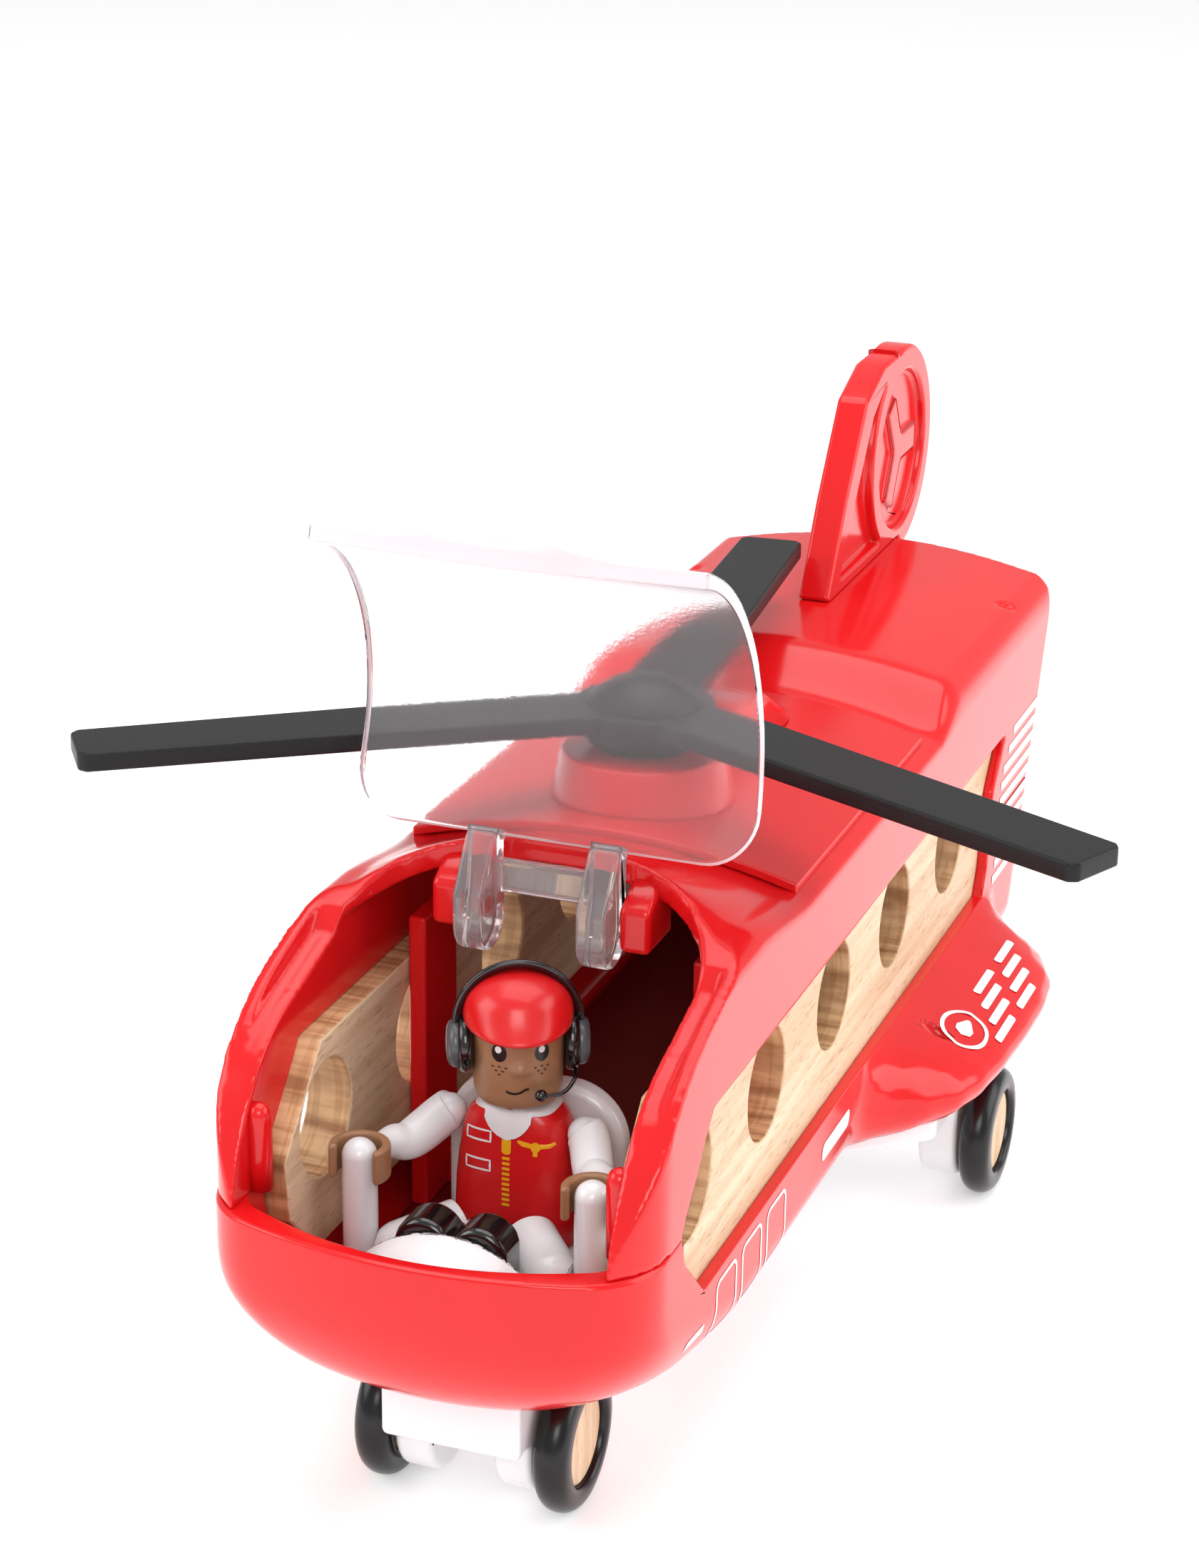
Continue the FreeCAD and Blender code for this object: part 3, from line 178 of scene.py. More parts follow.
red_gloss = finish("red_gloss", (0.66, 0.008, 0.010), 0.15, drift=0.03, Specular_IOR_Level=0.42)
red_roof = finish("red_roof", (0.64, 0.008, 0.010), 0.24, drift=0.03, bump=0.05, Specular_IOR_Level=0.4)
cabin_red = finish("cabin_red", (0.16, 0.004, 0.006), 0.45, bump=0.1)
white_gloss = finish("white_gloss", (0.80, 0.80, 0.82), 0.2, drift=0.01, Coat_Weight=0.3)
tyre_black = finish("tyre_black", (0.004, 0.004, 0.005), 0.26, drift=0.2, bump=0.06,
                    Specular_IOR_Level=0.4)
rotor_black = finish("rotor_black", (0.005, 0.005, 0.006), 0.42, drift=0.2, bump=0.25, bump_scale=1600.0,
                     Specular_IOR_Level=0.3)
gloss_black = finish("gloss_black", (0.005, 0.005, 0.006), 0.14, drift=0.2, Coat_Weight=0.5)
skin = finish("skin", (0.33, 0.165, 0.082), 0.36, drift=0.04)
cap_red = finish("cap_red", (0.66, 0.010, 0.012), 0.26, drift=0.04, bump=0.05)
shirt_white = finish("shirt_white", (0.80, 0.80, 0.82), 0.3, drift=0.01)
steel = finish("steel", (0.56, 0.56, 0.58), 0.28, bump=0.3, bump_scale=2500.0, Metallic=1.0)
cup_grey = finish("cup_grey", (0.085, 0.095, 0.105), 0.25, drift=0.1)
print_black = finish("print_black", (0.004, 0.004, 0.004), 0.3, drift=0.1)
print_brown = finish("print_brown", (0.06, 0.016, 0.008), 0.4, drift=0.1)
print_white = finish("print_white", (0.84, 0.84, 0.85), 0.35, drift=0.01)
print_yellow = finish("print_yellow", (0.86, 0.42, 0.01), 0.35, drift=0.03)
frosted = finish("frosted", (0.97, 0.95, 0.97), 0.13, drift=0.01, bump=0.10, bump_scale=1400.0,
                 Transmission_Weight=0.95, IOR=1.18)
frosted_rim = finish("frosted_rim", (0.93, 0.80, 0.83), 0.30, drift=0.01, bump=0.05,
                     Transmission_Weight=0.25, IOR=1.3)
clear = finish("clear", (1.0, 0.97, 0.98), 0.04, drift=0.01, bump=0.04, bump_scale=300.0,
               Transmission_Weight=0.9, IOR=1.38)
print("finishes:", len(bpy.data.materials))

# %% [markdown]
# ## Bare beech
# Beech is pale and pinkish, with a fine straight grain and thousands of short dark flecks.
# On the long faces the grain runs with the board, so the noise is stretched along Y. Inside a
# porthole the cutter goes through the rings, and the wood shows darker bands crossed by rays.

# %% Beech
def beech_finish(name, along):
    """Bare beech whose grain runs along one axis: 'y' for the walls, 'z' for the wheels."""
    made = bpy.data.materials.new(name)
    made.use_nodes = True
    nodes, links = made.node_tree.nodes, made.node_tree.links
    shader = nodes["Principled BSDF"]
    place = nodes.new("ShaderNodeTexCoord")

    def stretched(scale, detail, rough=0.5):
        mapping = nodes.new("ShaderNodeMapping")
        mapping.inputs["Scale"].default_value = scale
        links.new(place.outputs["Object"], mapping.inputs["Vector"])
        noise = nodes.new("ShaderNodeTexNoise")
        noise.inputs["Scale"].default_value = 1.0
        noise.inputs["Detail"].default_value = detail
        noise.inputs["Roughness"].default_value = rough
        links.new(mapping.outputs["Vector"], noise.inputs["Vector"])
        return noise.outputs["Fac"]

    def ramp(source, low, high, first, second):
        node = nodes.new("ShaderNodeValToRGB")
        node.color_ramp.elements[0].position, node.color_ramp.elements[1].position = low, high
        node.color_ramp.elements[0].color, node.color_ramp.elements[1].color = first + (1,), second + (1,)
        links.new(source, node.inputs["Fac"])
        return node.outputs["Color"]

    def mixed(kind, amount, first, second):
        node = nodes.new("ShaderNodeMix")
        node.data_type, node.blend_type = "RGBA", kind
        if isinstance(amount, float):
            node.inputs["Factor"].default_value = amount
        else:
            links.new(amount, node.inputs["Factor"])
        links.new(first, node.inputs["A"])
        links.new(second, node.inputs["B"])
        return node.outputs["Result"]

    def drawn_out(lengthwise, sideways):
        """Scales of a noise that is long with the grain and fine across it."""
        if along == "y":
            return (sideways, lengthwise, sideways)
        return (sideways, sideways, lengthwise)

    grain_scale, fleck_scale = drawn_out(16.0, 420.0), drawn_out(270.0, 1900.0)
    grain = ramp(stretched(grain_scale, 5), 0.3, 0.7, (0.60, 0.40, 0.235), (0.79, 0.60, 0.41))
    flecks = ramp(stretched(fleck_scale, 1), 0.30, 0.40, (0.62, 0.48, 0.36), (1.0, 1.0, 1.0))
    face = mixed("MULTIPLY", 0.55, grain, flecks)
    rings = ramp(stretched((60.0, 700.0, 260.0), 3), 0.35, 0.62, (0.36, 0.18, 0.075), (0.70, 0.45, 0.24))
    rays = ramp(stretched((900.0, 60.0, 60.0), 1), 0.42, 0.5, (0.72, 0.62, 0.5), (1.0, 1.0, 1.0))
    cut = mixed("MULTIPLY", 0.5, rings, rays)
    direction = nodes.new("ShaderNodeNewGeometry")
    split = nodes.new("ShaderNodeSeparateXYZ")
    links.new(direction.outputs["Normal"], split.inputs["Vector"])
    size = nodes.new("ShaderNodeMath")
    size.operation = "ABSOLUTE"
    links.new(split.outputs["X"], size.inputs[0])
    edge = nodes.new("ShaderNodeMapRange")
    edge.inputs["From Min"].default_value, edge.inputs["From Max"].default_value = 0.35, 0.75
    links.new(size.outputs[0], edge.inputs["Value"])
    links.new(mixed("MIX", edge.outputs["Result"], cut, face), shader.inputs["Base Color"])
    shader.inputs["Roughness"].default_value = 0.52
    relief = nodes.new("ShaderNodeBump")
    relief.inputs["Strength"].default_value = 0.12
    relief.inputs["Distance"].default_value = 0.0003
    links.new(stretched(fleck_scale, 2), relief.inputs["Height"])
    links.new(relief.outputs["Normal"], shader.inputs["Normal"])
    return made


beech = beech_finish("beech", "y")
beech_wheel = beech_finish("beech_wheel", "z")
floor_paint = finish("floor_paint", (0.90, 0.90, 0.90), 0.7, drift=0.004, Emission_Color=(1, 1, 1, 1),
                     Emission_Strength=0.30)
floor.data.materials.append(floor_paint)
print("beech for walls and for wheels")

# %% [markdown]
# ## Mouldings that keep the frame's shape
# Many pieces are already right. Their real edges are rounded by the mould, and that thin
# highlight is what makes plastic look like plastic. The helper copies a node, joins its flat
# triangles into clean faces and bevels only the edges that turn sharply.

# %% Rounded copies of frame nodes
def body_of(node):
    return next(b for b, members in frame["record"]["behaviour"]["bodies"].items() if node in members)


def slot_of(node):
    return next(s["material_slot"] for s in frame["record"]["subparts"] if s["node"] == node)


def shown(name, mesh):
    thing = bpy.data.objects.new(name, mesh)
    bpy.context.scene.collection.objects.link(thing)
    return thing


def link(name, mesh, material):
    mesh.materials.append(material)
    mesh.shade_smooth()
    return shown(name, mesh)


def hand_over(thing, body, slot, *nodes):
    """The piece rides on its body and stands for the nodes; the slot is not used."""
    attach(thing, body)
    if nodes:
        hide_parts(*nodes)
    return thing


def soften(thing, width, angle=32.0, segments=3):
    """Rounds the edges that turn by more than the angle; the width is in millimetres."""
    bevel = thing.modifiers.new("edges", "BEVEL")
    bevel.width, bevel.segments, bevel.limit_method = width * MM, segments, "ANGLE"
    bevel.angle_limit, bevel.use_clamp_overlap = math.radians(angle), False
    bevel.miter_outer = "MITER_ARC"
    even = thing.modifiers.new("even_shading", "WEIGHTED_NORMAL")
    even.keep_sharp = True
    return thing


def moulded(node, width, material):
    """A clean, rounded copy of a node of the frame."""
    mesh = bpy.data.meshes.new(node + "_moulded")
    shape = bmesh.new()
    shape.from_mesh(frame["nodes"][node].data)
    bmesh.ops.remove_doubles(shape, verts=shape.verts, dist=2e-6)
    bmesh.ops.dissolve_limit(shape, angle_limit=math.radians(0.6), verts=shape.verts, edges=shape.edges)
    shape.to_mesh(mesh)
    shape.free()
    thing = link(node + "_moulded", mesh, material)
    soften(thing, width)
    return hand_over(thing, body_of(node), slot_of(node), node)


KEPT_SHAPES = {
    "roof_deck": (0.35, red_roof),
    "rotor_mast": (0.5, red_gloss),
    "engine_cowl": (0.5, red_gloss),
    "tail_fin": (0.9, red_gloss),
    "wood_wall_left": (0.5, beech),
    "wood_wall_right": (0.5, beech),
    "rear_ramp": (0.4, red_gloss),
    "ramp_pin": (0.15, steel),
    "cabin_floor": (0.2, cabin_red),
    "cabin_frame": (0.5, red_gloss),
    "chassis": (1.1, white_gloss),
    "chassis_screws": (0.15, steel),
    "front_axle": (0.2, steel),
    "rear_axle": (0.2, steel),
    "rotor_blades": (0.55, rotor_black),
    "rotor_cap": (0.3, rotor_black),
    "rotor_shaft": (0.2, steel),
    "shaft_clip": (0.2, rotor_black),
    "canopy_hinge_arms": (0.7, clear),
    "control_sticks": (0.2, white_gloss),
    "nose_fairing": (0.6, white_gloss),
    "pilot_legs": (0.3, white_gloss),
}
for end in ("front", "rear"):
    for side in ("left", "right"):
        KEPT_SHAPES["wheel_disc_%s_%s" % (end, side)] = (0.5, beech_wheel)
for node, (width, material) in KEPT_SHAPES.items():
    moulded(node, width, material)
print("rounded copies:", len(KEPT_SHAPES))

# %% [markdown]
# ## Skins from rings
# Most of the round pieces here are skins: a stack of closed rings, each ring one slice of the
# piece, joined into quads. A slice is easy to think about, and the stack closes itself.

# %% Skin, tube and lathe
def skin_mesh(name, rings, capped=True, loop=False):
    """Joins rings of equal length into one surface; `loop` joins the last ring to the first."""
    mesh = bpy.data.meshes.new(name)
    count, points = len(rings[0]), [p for ring in rings for p in ring]
    faces = []
    pairs = list(range(len(rings) - 1)) + ([len(rings) - 1] if loop else [])
    for r in pairs:
        here, there = r * count, ((r + 1) % len(rings)) * count
        for i in range(count):
            j = (i + 1) % count
            faces.append((here + i, here + j, there + j, there + i))
    if capped and not loop:
        faces.append(tuple(reversed(range(count))))
        faces.append(tuple(range((len(rings) - 1) * count, len(rings) * count)))
    mesh.from_pydata([tuple(c * MM for c in p) for p in points], [], faces)
    mesh.validate()
    shape = bmesh.new()
    shape.from_mesh(mesh)
    bmesh.ops.recalc_face_normals(shape, faces=shape.faces)
    shape.to_mesh(mesh)
    shape.free()
    return mesh


def lathe_rings(profile, steps=64, push=None):
    """Rings of a turned shape. `profile` is (radius, height) and `push` may move each point."""
    rings = []
    for radius, height in profile:
        ring = []
        for i in range(steps):
            a = 2 * math.pi * i / steps
            point = Vector((radius * math.sin(a), -radius * math.cos(a), height))
            ring.append(push(point, a) if push else point)
        rings.append(ring)
    return rings


def tube_rings(path, radii, steps=20, flat=1.0):
    """Rings along a path; `flat` squeezes the section sideways."""
    rings, side = [], None
    for i, point in enumerate(path):
        ahead = (path[min(i + 1, len(path) - 1)] - path[max(i - 1, 0)]).normalized()
        if side is None:
            side = ahead.orthogonal().normalized()
        side = (side - ahead * side.dot(ahead)).normalized()
        over = ahead.cross(side)
        ring = []
        for k in range(steps):
            a = 2 * math.pi * k / steps
            ring.append(point + side * math.cos(a) * radii[i] + over * math.sin(a) * radii[i] * flat)
        rings.append(ring)
    return rings


def smooth_path(points, steps=8):
    """A Catmull-Rom curve through the points."""
    ends = [points[0] * 2 - points[1]] + list(points) + [points[-1] * 2 - points[-2]]
    path = []
    for a, b, c, d in zip(ends, ends[1:], ends[2:], ends[3:]):
        for k in range(steps):
            t = k / steps
            path.append(0.5 * (2 * b + (c - a) * t + (2 * a - 5 * b + 4 * c - d) * t * t
                               + (3 * b - a - 3 * c + d) * t ** 3))
    return path + [points[-1]]


def eased(table, at):
    """Reads a smooth value between the rows of a short table."""
    if at <= table[0][0]:
        return table[0][1]
    for (x0, y0), (x1, y1) in zip(table, table[1:]):
        if at <= x1:
            t = (at - x0) / (x1 - x0)
            return y0 + (y1 - y0) * (0.45 * t + 0.55 * t * t * (3 - 2 * t))
    return table[-1][1]


print("helpers: skin_mesh, lathe_rings, tube_rings, smooth_path, eased")

# %% [markdown]
# ## The lower hull
# The lower hull is a deep tub with a round chin, soft corners and a swollen fairing over each
# rear wheel. The frame has it with plain edges. Here it is sliced at many heights: each slice
# is the plan view of the tub at that height, and the slices shrink towards the bottom.

# %% Hull slices
HALF, SEAM, BOTTOM = 35.0, 54.5, 24.0
TIP, BOW, CHIN = 101.6, 8.0, 22.0
WALL, NOSE_WALL, TAIL_WALL, FLOOR_LEVEL = 6.0, 2.6, 4.4, 27.0
TAIL_FOOT, TAIL_LEAN = 113.5, 23.9 / 58.0
POD_LENGTH = [(9, 0.0), (13, 0.06), (17, 0.26), (22, 0.56), (28, 0.80), (35, 0.91), (46, 0.97), (60, 1.0),
              (70, 1.0), (79, 0.95), (86, 0.80), (92, 0.42), (97, 0.08), (100, 0.0)]
POD_TOP = 41.2
POD_HEIGHT = [(24, 11.5), (25.0, 14.6), (27, 16.8), (29, 17.8), (31, 17.9), (33, 16.8), (35, 14.2),
              (37, 10.2), (38.6, 6.0), (39.8, 2.6), (40.6, 0.6), (POD_TOP, 0.0)]


def bilge(y, z):
    """How far the rounded bottom edge has come in at this place."""
    near_nose = min(max((-45 - y) / 45.0, 0.0), 1.0)
    radius = 8.0 + 10.0 * near_nose * near_nose * (3 - 2 * near_nose)
    below = max(radius - (z - BOTTOM), 0.0)
    return radius - math.sqrt(max(radius * radius - below * below, 0.0))


def hull_side(y, z):
    """The outer half width of the hull, with its fairing."""
    return HALF - bilge(y, z) + eased(POD_LENGTH, y) * eased(POD_HEIGHT, z)


def hull_ring(z, inset=0.0, nose_inset=0.0, tail_inset=0.0, pods=True, rim=0.0):
    """The plan view of the hull at one height: right half first, then its mirror image."""
    chin = CHIN - nose_inset
    below = max(BOTTOM + CHIN - max(z, BOTTOM + nose_inset), 0.0)
    front = -(TIP - CHIN) - math.sqrt(max(chin * chin - below * below, 0.0)) + rim
    half = HALF - inset - rim
    corner = max(9.0 - inset, 3.0) + (14.0 if pods else 8.0) * min(max((46 - z) / 22.0, 0), 1) ** 1.5
    tail = TAIL_FOOT + (z - BOTTOM) * TAIL_LEAN - tail_inset - rim
    side = []
    for i in range(15):
        x = (half - corner) * i / 14
        side.append((x, front + BOW * (x / half) ** 2))
    x0, y0 = side[-1]
    lean = 2 * BOW * x0 / half ** 2
    knee = (half, y0 + lean * corner)
    y1 = knee[1] + corner
    for i in range(1, 13):
        t, k = i / 12, 0.6
        bends = [(x0, y0), (x0 + (knee[0] - x0) * k, y0 + (knee[1] - y0) * k),
                 (half, y1 + (knee[1] - y1) * k), (half, y1)]
        weights = ((1 - t) ** 3, 3 * t * (1 - t) ** 2, 3 * t * t * (1 - t), t ** 3)
        side.append(tuple(sum(w * b[n] for w, b in zip(weights, bends)) for n in (0, 1)))
    for i in range(1, 97):
        side.append((half, y1 + (tail - 3.0 - y1) * i / 96))
    side += [(half - 0.9, tail - 0.9), (half - 3.0, tail)]
    side += [((half - 3.0) * (1 - i / 6), tail) for i in range(1, 7)]
    ring = []
    for x, y in side:
        scale = (HALF - bilge(y, z if pods else z - 1.6)) / HALF
        swollen = pods and y < tail - 4
        bulge = eased(POD_LENGTH, y) * eased(POD_HEIGHT, z) * (x / half) ** 8 if swollen else 0.0
        ring.append((x * scale + bulge, y, z))
    return ring + [(-x, y, z) for x, y, z in reversed(ring[1:-1])]


outer_levels = [24.0, 24.25, 24.8, 25.5, 26.4] + [27.2 + 0.7 * k for k in range(20)]
outer_levels += [41.3, 43, 46, 49, 51.5, 53.8]
rings = [hull_ring(z) for z in outer_levels]
rings += [[(x, y, 54.2) for x, y, z in hull_ring(54.2, rim=0.1)], hull_ring(SEAM, rim=0.45)]
for z in (SEAM, 50, 44, 38, 33, 29.5, FLOOR_LEVEL):
    rings.append(hull_ring(z, WALL, NOSE_WALL, TAIL_WALL, pods=False))
hull = link("hull_tub", skin_mesh("hull_tub", rings), red_gloss)
print("hull:", len(rings), "slices of", len(rings[0]), "points")

# %% [markdown]
# The openings are cut from the finished tub with plain cutters: the side window through each
# wall, the pocket that holds the boards, the ramp's doorway and the air intake in each
# fairing. A boolean keeps each edge crisp, and a small bevel then rounds it.

# %% Cutters
def prism(name, outline, low, high):
    """A solid that stretches an outline in Y and Z across X."""
    rings = [[(x, y, z) for y, z in outline] for x in (low, high)]
    return skin_mesh(name, rings)


def cut_with(thing, mesh):
    tool = shown(mesh.name, mesh)
    step = thing.modifiers.new(mesh.name, "BOOLEAN")
    step.object, step.operation, step.solver = tool, "DIFFERENCE", "EXACT"
    return tool


def apply_all(thing):
    """Turns the modifiers into real mesh, so the cutters can be thrown away."""
    bpy.context.view_layer.update()
    shaped = thing.evaluated_get(bpy.context.evaluated_depsgraph_get())
    mesh = bpy.data.meshes.new_from_object(shaped)
    thing.modifiers.clear()
    thing.data = mesh
    return thing


WINDOW = [(-68.5, 41.0), (91.6, 41.0), (94.3, 46.0), (96.1, 60.5), (104.1, 69.4), (-65.5, 69.4),
          (-78.9, 55.0), (-77.3, 49.6)]
POCKET_HALF, DOOR_HALF, DOOR_FRONT = 33.0, 26.4, 104.0
BOARD = [(y + (2.6 if y > 0 else -5.2), z + (2.6 if z > 60.6 else -2.6)) for y, z in WINDOW]
tools = [
    cut_with(hull, prism("window_hole_left", WINDOW, 30.0, 36.2)),
    cut_with(hull, prism("window_hole_right", WINDOW, -36.2, -30.0)),
    cut_with(hull, prism("board_pocket", BOARD, -POCKET_HALF, POCKET_HALF)),
]
doorway = [(DOOR_FRONT, 28.6), (140.0, 28.6), (140.0, 60.0), (DOOR_FRONT, 60.0)]
tools.append(cut_with(hull, prism("doorway", doorway, -DOOR_HALF, DOOR_HALF)))
for side in (-1, 1):
    mouth_path = [Vector((side * (38.2 + 0.9 * k), 37.5, 40.2 - 0.62 * k)) for k in range(8)]
    mouth = tube_rings(mouth_path, [0.3, 1.1, 1.6, 1.8, 1.8, 1.6, 1.1, 0.3], 24)
    tools.append(cut_with(hull, skin_mesh("air_intake_%d" % side, mouth)))
apply_all(hull)
for tool in tools:
    bpy.data.objects.remove(tool)
hull.data.shade_smooth()
soften(hull, 0.35, 38.0, 2)
hand_over(hull, "airframe", "red_moulding", "lower_hull")
print("hull faces:", len(hull.data.polygons))

# %% [markdown]
# ## The upper shell
# The upper shell is a long tunnel with a crowned roof. Its front is one smooth arch, cut back
# to show the cockpit, with a small step that the closed windscreen rests in. It starts as an
# upright block, like the hull, and cutters then give it the roof line, the hollow, the arch
# and the openings. Where so many cuts meet, a bevel would tear on the slivers between them. So
# the block is made again as one even skin, its edges are rubbed soft, and spare faces go.

# %% Upper shell
ROOF = [(-120, 86.0, 88.6, 97.6), (-44, 86.0, 88.6, 97.6), (-20, 83.5, 85.3, 89.6),
        (56, 83.5, 85.3, 89.6), (70, 85.2, 91.4, 95.0), (140, 85.2, 91.4, 95.0)]
SHOULDER, ROOF_WALL, TAIL_CUT, SKY = 29.8, 4.0, 137.4, 130.0


def roof_height(x, y):
    """A crown between the shoulders, and a round corner outside them."""
    side, shoulder, top = (eased([(row[0], row[k]) for row in ROOF], y) for k in (1, 2, 3))
    if abs(x) <= SHOULDER:
        return top - (top - shoulder) * (x / SHOULDER) ** 2
    t = min((abs(x) - SHOULDER) / (HALF - SHOULDER), 1.0)
    return shoulder - (shoulder - side + 0.6) * (1 - math.sqrt(max(1 - t * t, 0.0)))


def above_roof(name, drop, half):
    """A solid that holds everything over the roof line, lowered by a drop."""
    places = [-120, -60, -44] + [-44 + 2 * k for k in range(1, 13)] + [0, 30]
    places += [50 + 1.5 * k for k in range(16)] + [90, 120, 150]
    across = [half * math.sin(math.pi / 2 * (2 * i / 48 - 1)) for i in range(49)]
    wide = half + 6
    rings = []
    for y in places:
        eaves = roof_height(half, y) - (drop if drop else 6)
        line = [(x, y, roof_height(x, y) - drop) for x in across]
        rings.append([(-wide, y, eaves)] + line + [(wide, y, eaves), (wide, y, SKY), (-wide, y, SKY)])
    return skin_mesh(name, rings)


def upright(name, foot, inset, nose_inset, tail_inset):
    """The hull's plan view carried straight up, from the foot to over the roof."""
    rings = []
    for z in (foot, 60.0, 70.0, 82.0, 90.0, 100.0):
        ring = hull_ring(z, inset, nose_inset, tail_inset, pods=False)
        rings.append([(x, min(y, TAIL_CUT - tail_inset), level) for x, y, level in ring])
    return skin_mesh(name, rings)


hollow = shown("cabin_hollow", upright("cabin_hollow", 50.0, WALL, NOSE_WALL, TAIL_WALL))
roof_under = cut_with(hollow, above_roof("roof_under", ROOF_WALL, HALF))
apply_all(hollow)
bpy.data.objects.remove(roof_under)
hollow_mesh = hollow.data
bpy.data.objects.remove(hollow)

shell = link("upper_shell_tunnel", upright("upper_shell_tunnel", SEAM, 0.0, 0.8, 0.0), red_gloss)
STEP_DEEP, STEP_HALF = 2.6, 32.8
STEP_BACK, STEP_FRONT = -54.9, -84.0
ARCH_TOP, AHEAD = -41.0, -130.0
ARCH = [(-94.9, SEAM), (-93.8, 58.5), (-91.6, 63.5), (-88.2, 68.8), (-83.6, 74.0), (-77.6, 78.8),
        (-70.4, 82.4), (-62.0, 85.0), (STEP_BACK, 87.0), (-50.4, 89.0), (-46.6, 92.0), (-43.6, 95.4),
        (ARCH_TOP, 99.0)]


def arch_outline(deep):
    """The arch from the side. The step's depth fades in from the front and ends at its back."""
    line = []
    for point in smooth_path([Vector((y, z, 0)) for y, z in ARCH], 4):
        fade_in = min(max((point.x - STEP_FRONT) / 14.0, 0), 1)
        fade_out = min(max((STEP_BACK - point.x) / 3.0, 0), 1)
        line.append((point.x, point.y - deep * fade_out * fade_in))
    return line + [(ARCH_TOP, SKY), (AHEAD, SKY), (AHEAD, SEAM - 0.1), (-95.1, SEAM - 0.1)]


BROW = [(29.0, AHEAD), (29.0, -58.0), (28.5, -54.0), (26.6, -49.6), (23.4, -45.6), (19.4, -42.6),
        (15.0, ARCH_TOP)]
brow_line = BROW + [(-x, y) for x, y in reversed(BROW)]
brow_cut = skin_mesh("brow_cut", [[(x, y, z) for x, y in brow_line] for z in (50.0, SKY)])
shell_tools = [
    cut_with(shell, above_roof("sky", 0.0, HALF)),
    cut_with(shell, hollow_mesh),
    cut_with(shell, brow_cut),
    cut_with(shell, prism("arch_outer", arch_outline(0.0), -60.0, 60.0)),
    cut_with(shell, prism("arch_step", arch_outline(STEP_DEEP), -STEP_HALF, STEP_HALF)),
    cut_with(shell, prism("upper_window_left", WINDOW, 28.5, 36.2)),
    cut_with(shell, prism("upper_window_right", WINDOW, -36.2, -28.5)),
    cut_with(shell, prism("upper_board_pocket", BOARD, -POCKET_HALF, POCKET_HALF)),
]
gate = [(DOOR_FRONT, 40.0), (150.0, 40.0), (150.0, 79.6), (DOOR_FRONT, 79.6)]
shell_tools.append(cut_with(shell, prism("upper_doorway", gate, -DOOR_HALF, DOOR_HALF)))
for side in (-1, 1):
    slot_path = [Vector((side * (28.6 + 0.6 * k), 112.6 + 0.55 * k, 93.4 - 0.42 * k)) for k in range(8)]
    slot = tube_rings(slot_path, [0.3, 0.9, 1.25, 1.4, 1.4, 1.25, 0.9, 0.3], 20)
    shell_tools.append(cut_with(shell, skin_mesh("roof_slot_%d" % side, slot)))
apply_all(shell)
for tool in shell_tools:
    bpy.data.objects.remove(tool)
SKIN_CELL, EDGE_RUBS, FACES_KEPT = 0.5, 5, 0.22
even = shell.modifiers.new("even_skin", "REMESH")
even.mode, even.voxel_size, even.use_smooth_shade = "VOXEL", SKIN_CELL * MM, True
calm = shell.modifiers.new("soft_edges", "SMOOTH")
calm.factor, calm.iterations = 0.5, EDGE_RUBS
fewer = shell.modifiers.new("fewer_faces", "DECIMATE")
fewer.ratio = FACES_KEPT
apply_all(shell)
shell.data.shade_smooth()
hand_over(shell, "airframe", "red_moulding", "upper_shell")
print("upper shell faces:", len(shell.data.polygons))

# %% [markdown]
# Inside the arch stand two lugs that hold the windscreen's pin, and a round post in each
# front corner. They are small blocks, and their big soft edges matter more than their shape.

# %% Lugs and corner posts
LUG_LINE = [(-46.8, 82.6), (-36.0, 82.6), (-36.0, 92.6), (-41.5, 92.6), (-46.8, 89.8)]
LUG_SIDES = (12.8, 17.8)
POST_X, POST_Y = 28.1, -86.8
POST_LINE = [(54.6, 1.9), (60, 1.9), (66, 1.9), (67.2, 1.75), (67.9, 1.35), (68.3, 0.8), (68.5, 0.15)]
for sign in (-1, 1):
    lug = [[(sign * x, y, z) for y, z in LUG_LINE] for x in LUG_SIDES]
    block = link("hinge_lug_%d" % sign, skin_mesh("hinge_lug_%d" % sign, lug), red_gloss)
    soften(block, 1.1, 35.0, 4)
    hand_over(block, "airframe", "red_moulding")
    post_rings = tube_rings([Vector((sign * POST_X, POST_Y, z)) for z, _ in POST_LINE],
                            [radius for _, radius in POST_LINE], 32)
    post = link("corner_post_%d" % sign, skin_mesh("corner_post_%d" % sign, post_rings), red_gloss)
    hand_over(post, "airframe", "red_moulding")
print("lugs and posts: two of each")

# %% [markdown]
# ## Tyres
# Each tyre is a thick round ring with an inner lip that holds the beech disc. Turning one
# profile makes all four.

